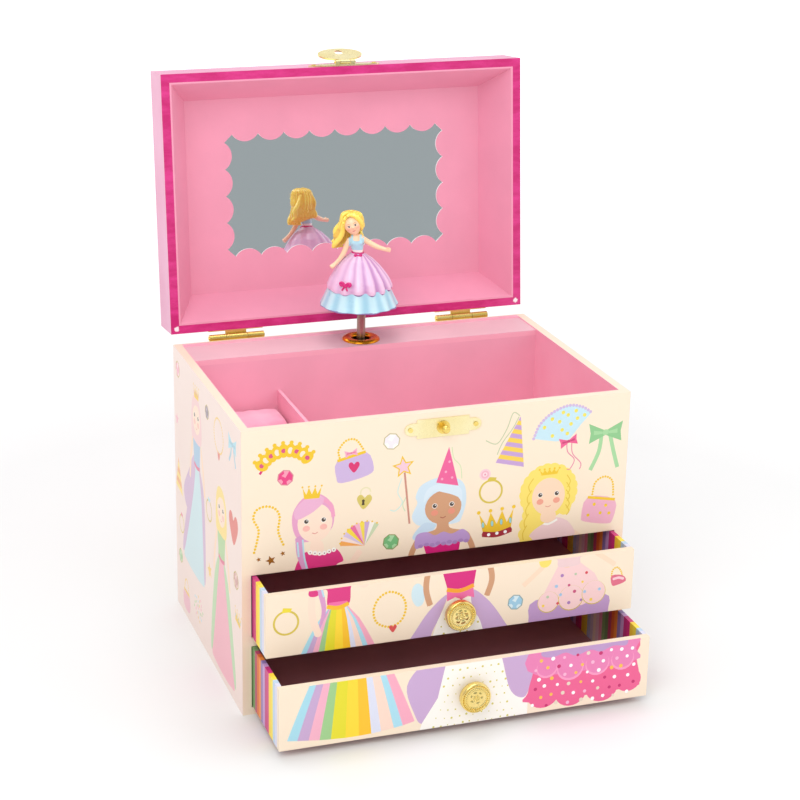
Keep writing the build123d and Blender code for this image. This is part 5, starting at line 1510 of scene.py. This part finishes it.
face_profile = [(r, 5.15 + 0.1 * (r < 4.0)) for r in np.linspace(6.05, 0.0, 62)]
knob_profile = ([(0.0, 4.0), (1.1, 4.0), (1.1, 0.02), (2.55, 0.02), (2.55, 2.05), (6.3, 2.05), (6.85, 2.4),
                 (7.0, 3.2),
                 (7.0, 4.3), (6.85, 5.0), (6.6, 5.45), (6.3, 5.5), (6.15, 5.3)] + face_profile)
knob_middles = {}
for drawer in ("upper_drawer", "lower_drawer"):
    low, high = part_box(drawer + "_knob")
    front_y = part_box(drawer + "_front")[0].y
    knob_middles[drawer] = Vector(((low.x + high.x) / 2, front_y, (low.z + high.z) / 2))
    points, faces = turned(knob_profile, knob_middles[drawer], (0, -1, 0), 216, medallion)
    knob = add_mesh(drawer + "_medallion", points, faces, gilt, drawer)
    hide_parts(drawer + "_knob")

# %% [markdown]
# ## Beads and coil spring
# The ring of beads round each medallion and the coil spring under the doll both repeat one small shape
# along a path, so a node group makes each of them: a path, the shape set along it, and the material.

# %% Node-built pieces
def grown(name, finish, sizes, make):
    """A mesh grown by a node group that has the sizes as named inputs; make lays its nodes."""
    group = bpy.data.node_groups.new(name, "GeometryNodeTree")
    group.interface.new_socket("Geometry", in_out="OUTPUT", socket_type="NodeSocketGeometry")
    sockets = {}
    for size, value in sizes.items():
        kind = "NodeSocketInt" if isinstance(value, int) else "NodeSocketFloat"
        sockets[size] = group.interface.new_socket(size, in_out="INPUT", socket_type=kind).identifier
    given = group.nodes.new("NodeGroupInput")

    def add(kind, **links):
        """A node whose sockets take a size by its name, another node's output or a plain value."""
        node = group.nodes.new("GeometryNode" + kind)
        for label, value in links.items():
            socket = next(i for i in node.inputs if i.name == label.replace("_", " ") and i.enabled)
            if isinstance(value, str):
                group.links.new(given.outputs[value], socket)
            elif isinstance(value, bpy.types.NodeSocket):
                group.links.new(value, socket)
            else:
                socket.default_value = value
        return node.outputs[0]

    realized = add("RealizeInstances", Geometry=make(add))
    dressed = add("SetMaterial", Geometry=realized, Material=finish.material)
    group.links.new(dressed, group.nodes.new("NodeGroupOutput").inputs["Geometry"])
    carrier = placed(name + "_carrier", bpy.data.meshes.new(name + "_carrier"))
    grow = carrier.modifiers.new("grow", "NODES")
    grow.node_group = group
    for size, value in sizes.items():
        grow[sockets[size]] = value
    mesh = bpy.data.meshes.new_from_object(carrier.evaluated_get(bpy.context.evaluated_depsgraph_get()))
    bpy.data.objects.remove(carrier)
    mesh.name = name
    made = placed(name, mesh)
    print(name, "points", len(mesh.vertices))
    return made


def bead_ring(add):
    path = add("MeshCircle", Vertices="Beads", Radius="Ring radius")
    bead = add("MeshIcoSphere", Radius="Bead radius", Subdivisions=3)
    return add("InstanceOnPoints", Points=path, Instance=bead)


bead_sizes = {"Beads": 40, "Ring radius": 5.62 * mm, "Bead radius": 0.4 * mm}
facing_front = Matrix.Rotation(math.pi / 2, 4, "X")
for drawer, middle in knob_middles.items():
    beads = grown(drawer + "_beads", gilt, bead_sizes, bead_ring)
    beads.data.transform(Matrix.Translation(middle + Vector((0, -5.35 * mm, 0))) @ facing_front)
    beads.data.polygons.foreach_set("use_smooth", [True] * len(beads.data.polygons))
    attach(beads, drawer)

low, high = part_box("figure_spring")
spring_foot = Vector(((low.x + high.x) / 2, (low.y + high.y) / 2, low.z))
spring_height, wire = high.z - low.z, 0.28 * mm
spring_sizes = {"Turns": 6.0, "Coil radius": 1.5 * mm, "Rise": spring_height - 2 * wire, "Wire radius": wire}


def coil(add):
    path = add("CurveSpiral", Resolution=28, Rotations="Turns", Start_Radius="Coil radius",
               End_Radius="Coil radius", Height="Rise")
    ring = add("CurvePrimitiveCircle", Resolution=10, Radius="Wire radius")
    return add("CurveToMesh", Curve=path, Profile_Curve=ring, Fill_Caps=True)


spring = grown("figure_coil", polished_steel, spring_sizes, coil)
spring.data.transform(Matrix.Translation(spring_foot + Vector((0, 0, wire))))
spring.data.polygons.foreach_set("use_smooth", [True] * len(spring.data.polygons))
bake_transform(spring)
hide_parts("figure_spring")

# %% [markdown]
# ## The other walls' pictures
# The sides carry two more friends each and the same small jewels. Printed there, the colours are paler.
# The right side is the left side's drawing turned round, and the back has jewels only, round the key.

# %% Pale inks and a friend drawn by numbers
def pale(code, share=0.22, foil=0.0):
    shade = ink(code, foil)
    return tuple(a + (b - a) * share for a, b in zip(shade[:3], cream[:3])) + (shade[3],)


def friend(s, x, top, foot, hair, bodice, skirt, panel, lean=0.0):
    """A friend in a long gown: x of the waist, z of the head's middle and of the hem."""
    waist_z, neck_z = top - 24, top - 9
    s.blob([(x - 5, waist_z), (x - 12, waist_z - 14), (x - 20 + lean, foot + 6), (x - 14 + lean, foot),
            (x + 14 + lean, foot), (x + 20 + lean, foot + 6), (x + 12, waist_z - 14), (x + 5, waist_z)],
            skirt)
    for side in (-1, 1):
        s.blob([(x + side * 3.5, waist_z + 1), (x + side * 13, waist_z - 12),
                (x + side * 22 + lean, foot + 9),
                (x + side * 19 + lean, foot + 5), (x + side * 8, waist_z - 16)], panel)
        s.line([(x + side * 6.4, neck_z - 1), (x + side * 11.5, waist_z + 2),
                (x + side * 14.0, waist_z - 10)], 2.8,
               pale("fbd8ba"))
    s.blob([(x - 6.6, neck_z), (x, neck_z - 2.2), (x + 6.6, neck_z), (x + 5.6, waist_z + 4),
            (x + 4.8, waist_z - 0.6),
            (x - 4.8, waist_z - 0.6), (x - 5.6, waist_z + 4)], bodice)
    s.blob([(x - 2.4, top - 6), (x + 2.4, top - 6), (x + 4.6, neck_z), (x, neck_z - 2.0), (x - 4.6, neck_z)],
           pale("fbd8ba"))
    s.line([(x - 5.2, waist_z + 0.4), (x, waist_z - 0.6), (x + 5.2, waist_z + 0.4)], 1.8, pale("dd2f7f", 0.2))
    s.blob([(x - 9.4, top - 10), (x - 9.0, top + 2), (x - 5, top + 9.6), (x + 3, top + 10.2),
            (x + 8.6, top + 4),
            (x + 9.6, top - 8), (x + 6, top - 12), (x - 5, top - 12)], hair)
    face(s, x, top - 0.4, 6.8, 7.6, pale("fde0cb"), pale("f8b9ae"), pale("e59a8c"), 3.3)
    s.blob([(x - 7.2, top + 2), (x - 2, top + 5.6), (x + 5, top + 6.0), (x + 6.8, top + 3),
            (x + 4, top + 9.2),
            (x - 4.6, top + 9)], hair)


# %% Left and right sides
side = Sheet()
side.blob([(-22, 92), (-34, 80), (-44, 68), (-40, 60), (-28, 58), (-14, 66), (-10, 84)], pale("c9a8d2"))
friend(side, -17, 112, 31, pale("f4c8ce"), pale("8fc0e4"), pale("bfe3ee"), pale("c9a8d2"), -8)
crown(side, -16.4, 121.4, 10, 6.2, 0.05, None, pale("ea5c90"))
friend(side, 27, 84, 4, pale("fbdc6a"), pale("9dcf8e"), pale("f3a2bc"), pale("a9d6a4"), 1)
heart(side, 48.5, 84.5, 7.2, pale("dc4a4a", 0.2))
crown(side, 54.2, 41, 10, 6.4, -0.15, None, pale("9ccbe4"))
gem(side, 52, 61, 4.4, pale("c98a88"), pale("eac6c0"))
side.beads(polygon(24, 118, 8, 24), 0.55, gold, 1.2, True)
heart(side, 24, 108.6, 1.9, pale("dc4a4a"))
bow(side, 47.6, 122.6, 13, pale("a9dcec", 0.1), pale("7fc0da"), tails=9)
gem(side, 3.4, 122, 3.6, pale("6a5a78"), pale("a89ab4"))
gem(side, -53, 124, 4.2, pale("f0a0bc"), pale("fbd8e2"))
party_hat(side, (-54.5, 79), (-60.2, 63.2), (-46.8, 61.4), [pale("f2a05a"), pale("fbdc6a")], 6)
gem(side, -53, 28, 3.8, pale("8cc68a"), pale("c6e2c0"))
purse(side, [(-47.4, 13.2), (-36.6, 13.0), (-35.6, 5.2), (-42, 3.4), (-48.6, 5.4)], pale("eeb0c6"),
      [(-46, 14), (-44.8, 18.4), (-42, 19.8), (-39.4, 18.2), (-38, 14)])
for k in range(26):
    a, r = k * 2.4, 1.35 * math.sqrt(k)
    side.disc(-18 + r * math.cos(a) * 1.3, 15.5 + r * math.sin(a), 0.75,
              pale(("f0a0bc", "9dcf8e", "a9dcec", "f2c72c")[k % 4]), sides=10)
finger_ring(side, 5, 75, 5.0, pale("a9dcec"))
star(side, 4.6, 45, 4.2, pale("f2c72c", 0.2, 0.6), 0.3)
star(side, -56, 98, 3.4, pale("f3b0c6"), 0.1)
finger_ring(side, -50, 46, 4.4, pale("ea5c90"))
side_window = (-half_depth / mm, 0, half_depth / mm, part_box("left_side_board")[1].z / mm)
side_ground = ink("f4dfd6")
cut_sheet("left_side_print", side, side_window, (-half_width, 0, 0), (0, -1, 0), (0, 0, 1), "case",
          ground=side_ground)
cut_sheet("right_side_print", side, side_window, (half_width, 0, 0), (0, 1, 0), (0, 0, 1), "case",
          ground=side_ground)

# %% [markdown]
# The back sheet keeps clear of the hinges' leaves and of the winding key. The lid's top has a wreath of
# jewels, drawn flat for the closed lid and then swung open with it.

# %% Back and lid top
back_sheet = Sheet()
marks = random.Random(5)
places = [(-74, 104), (-38, 108), (34, 104), (72, 100), (-60, 74), (-20, 62), (24, 66), (62, 70), (-76, 40),
          (-36, 34),
          (4, 34), (44, 36), (78, 42), (-58, 12), (-16, 10), (26, 12), (64, 12), (-44, 88), (46, 86)]
for k, (x, y) in enumerate(places):
    tint = ("ea5c90", "9ccbe4", "8cc68a", "f2a05a", "c9a8d2", "e0322f")[k % 6]
    if k % 5 == 0:
        heart(back_sheet, x, y, 5.0, pale(tint, 0.15), marks.uniform(-0.3, 0.3))
    elif k % 5 == 1:
        star(back_sheet, x, y, 5.6, pale(tint, 0.15), marks.uniform(0, 1), gold)
    elif k % 5 == 2:
        gem(back_sheet, x, y, 4.4, pale(tint, 0.15), pale(tint, 0.65))
    elif k % 5 == 3:
        bow(back_sheet, x, y, 11, pale(tint, 0.15), pale(tint, 0.4), tails=7)
    else:
        finger_ring(back_sheet, x, y, 4.6, pale(tint, 0.15))
arbor_low, arbor_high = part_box("winding_arbor")
arbor_u = -(arbor_low.x + arbor_high.x) / 2 / mm
arbor_z = (arbor_low.z + arbor_high.z) / 2 / mm
leaf_foot = min(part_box(n)[0].z for n in ("left_hinge_case_leaf", "right_hinge_case_leaf")) / mm
cut_sheet("back_print", back_sheet, (-half_width / mm, 0, half_width / mm, leaf_foot - 0.6),
          (0, half_depth, 0),
          (-1, 0, 0), (0, 0, 1), "case", holes=[(arbor_u, arbor_z, 4.6)])

top_sheet = Sheet()
for k in range(22):
    a = 2 * math.pi * k / 22
    x, y = 58 * math.cos(a), 38 * math.sin(a)
    tint = ("ea5c90", "9ccbe4", "8cc68a", "f2a05a", "c9a8d2")[k % 5]
    if k % 2:
        gem(top_sheet, x, y, 3.6, ink(tint), pale(tint, 0.6))
    else:
        star(top_sheet, x, y, 4.2, ink(tint), a, gold)
crown(top_sheet, 0, 6, 34, 20, 0.0, ink("dd2f7f"), ink("9ccbe4"), 5)
bow(top_sheet, 0, -12, 24, ink("ea5c90"), ink("c93a70"), tails=12)
lid_top = 0.1555
swing = lid_swing.to_3x3()
cut_sheet("lid_top_print", top_sheet, (-84, -56, 84, 56), tuple(lid_swing @ Vector((0, 0, lid_top))),
          tuple(swing @ Vector((1, 0, 0))), tuple(swing @ Vector((0, 1, 0))), "lid", ground=ink("eeb2cb"))

# %% [markdown]
# ## Floor, light and camera
# A pale floor that runs far behind the box and glows more the further it lies from the box, painted light
# that whitens the far floor. One wide soft light stands above and in front on the left, with two weaker
# fills. The mirror would show a white studio, so a grey card stands behind the camera where only
# reflections see it. The camera looks a little from the left and from above, as a shopper would.

# %% Floor and light
def flat_piece(name, corners, finish):
    """A one-sided flat piece of the set, which is not part of the box."""
    mesh = bpy.data.meshes.new(name)
    mesh.from_pydata([Vector(c) for c in corners], [], [tuple(range(len(corners)))])
    made = placed(name, mesh)
    made.data.materials.append(finish.material)
    return made


floor_finish = Finish("floor_sweep", roughness=0.6)
distance = floor_finish.node("VectorMath", {"operation": "LENGTH"}, {0: floor_finish.place()}, "Value")
# painted light: the floor's glow grows with the distance from the box, so the far floor shines white
far_floor_glow = floor_finish.ramp(distance, 0.3, 1.1)
floor_finish.set(base_color=floor_finish.mix(floor_finish.noise(0.3, 2.0), paint("ececec"), paint("f4f4f4")),
                 emission_color=floor_finish.mix(far_floor_glow, paint("000000"), paint("ffffff")),
                 emission_strength=0.6)
floor = flat_piece("floor", [(-12, -12, 0), (12, -12, 0), (12, 12, 0), (-12, 12, 0)], floor_finish)
card_finish = Finish("grey_card", roughness=1.0, emission_color=paint("a0a6a8"), emission_strength=1.0)
card_finish.set(base_color=card_finish.mix(card_finish.noise(0.5), paint("000000"), paint("050505")))
card = flat_piece("grey_card", [(-3, -1.4, -0.2), (3, -1.4, -0.2), (3, -1.4, 2.5), (-3, -1.4, 2.5)],
                  card_finish)
for seen_by in ("camera", "diffuse", "shadow", "transmission", "volume_scatter"):
    setattr(card, "visible_" + seen_by, False)

world = bpy.data.worlds.new("studio")
world.use_nodes = True
world.node_tree.nodes["Background"].inputs["Color"].default_value = (1, 1, 1, 1)
world.node_tree.nodes["Background"].inputs["Strength"].default_value = 0.76
bpy.context.scene.world = world
bpy.context.scene.view_settings.view_transform = "Standard"


def soft_light(name, place, target, size, power):
    lamp = bpy.data.lights.new(name, "AREA")
    lamp.shape, lamp.size, lamp.energy = "DISK", size, power
    made = bpy.data.objects.new(name, lamp)
    made.location = place
    made.rotation_euler = (Vector(target) - Vector(place)).to_track_quat("-Z", "Y").to_euler()
    bpy.context.scene.collection.objects.link(made)


middle = (0, 0, 0.12)
soft_light("key_light", (-0.7, -1.0, 1.3), middle, 1.0, 8.4)
soft_light("fill_light", (1.2, -0.7, 0.7), middle, 1.2, 3.0)
soft_light("top_light", (0.1, 0.5, 1.6), middle, 1.0, 4.0)
soft_light("hair_light", (-0.05, 0.055, 0.62), (0, 0.047, 0.18), 0.3, 0.45)
print("lights", len(bpy.data.lights))

# %% Camera
azimuth, elevation, roll = math.radians(-18.49), math.radians(18.51), math.radians(0.69)
back = Vector((math.sin(azimuth) * math.cos(elevation), -math.cos(azimuth) * math.cos(elevation),
               math.sin(elevation)))
level = Vector((math.cos(azimuth), math.sin(azimuth), 0))
upward = back.cross(level)
right = math.cos(roll) * level + math.sin(roll) * upward
up = -math.sin(roll) * level + math.cos(roll) * upward
lens = bpy.data.cameras.new("camera")
lens.sensor_width, lens.lens = 36.0, 88.9
lens.shift_x, lens.shift_y = 0.053, -0.048
camera = bpy.data.objects.new("camera", lens)
camera.matrix_world = Matrix((right, up, back)).transposed().to_4x4()
camera.location = (-0.29009, -0.81322, 0.42511)
lens.clip_start, lens.clip_end = 0.05, 60.0
bpy.context.scene.collection.objects.link(camera)
bpy.context.scene.camera = camera
print("camera", [round(v, 3) for v in camera.location])
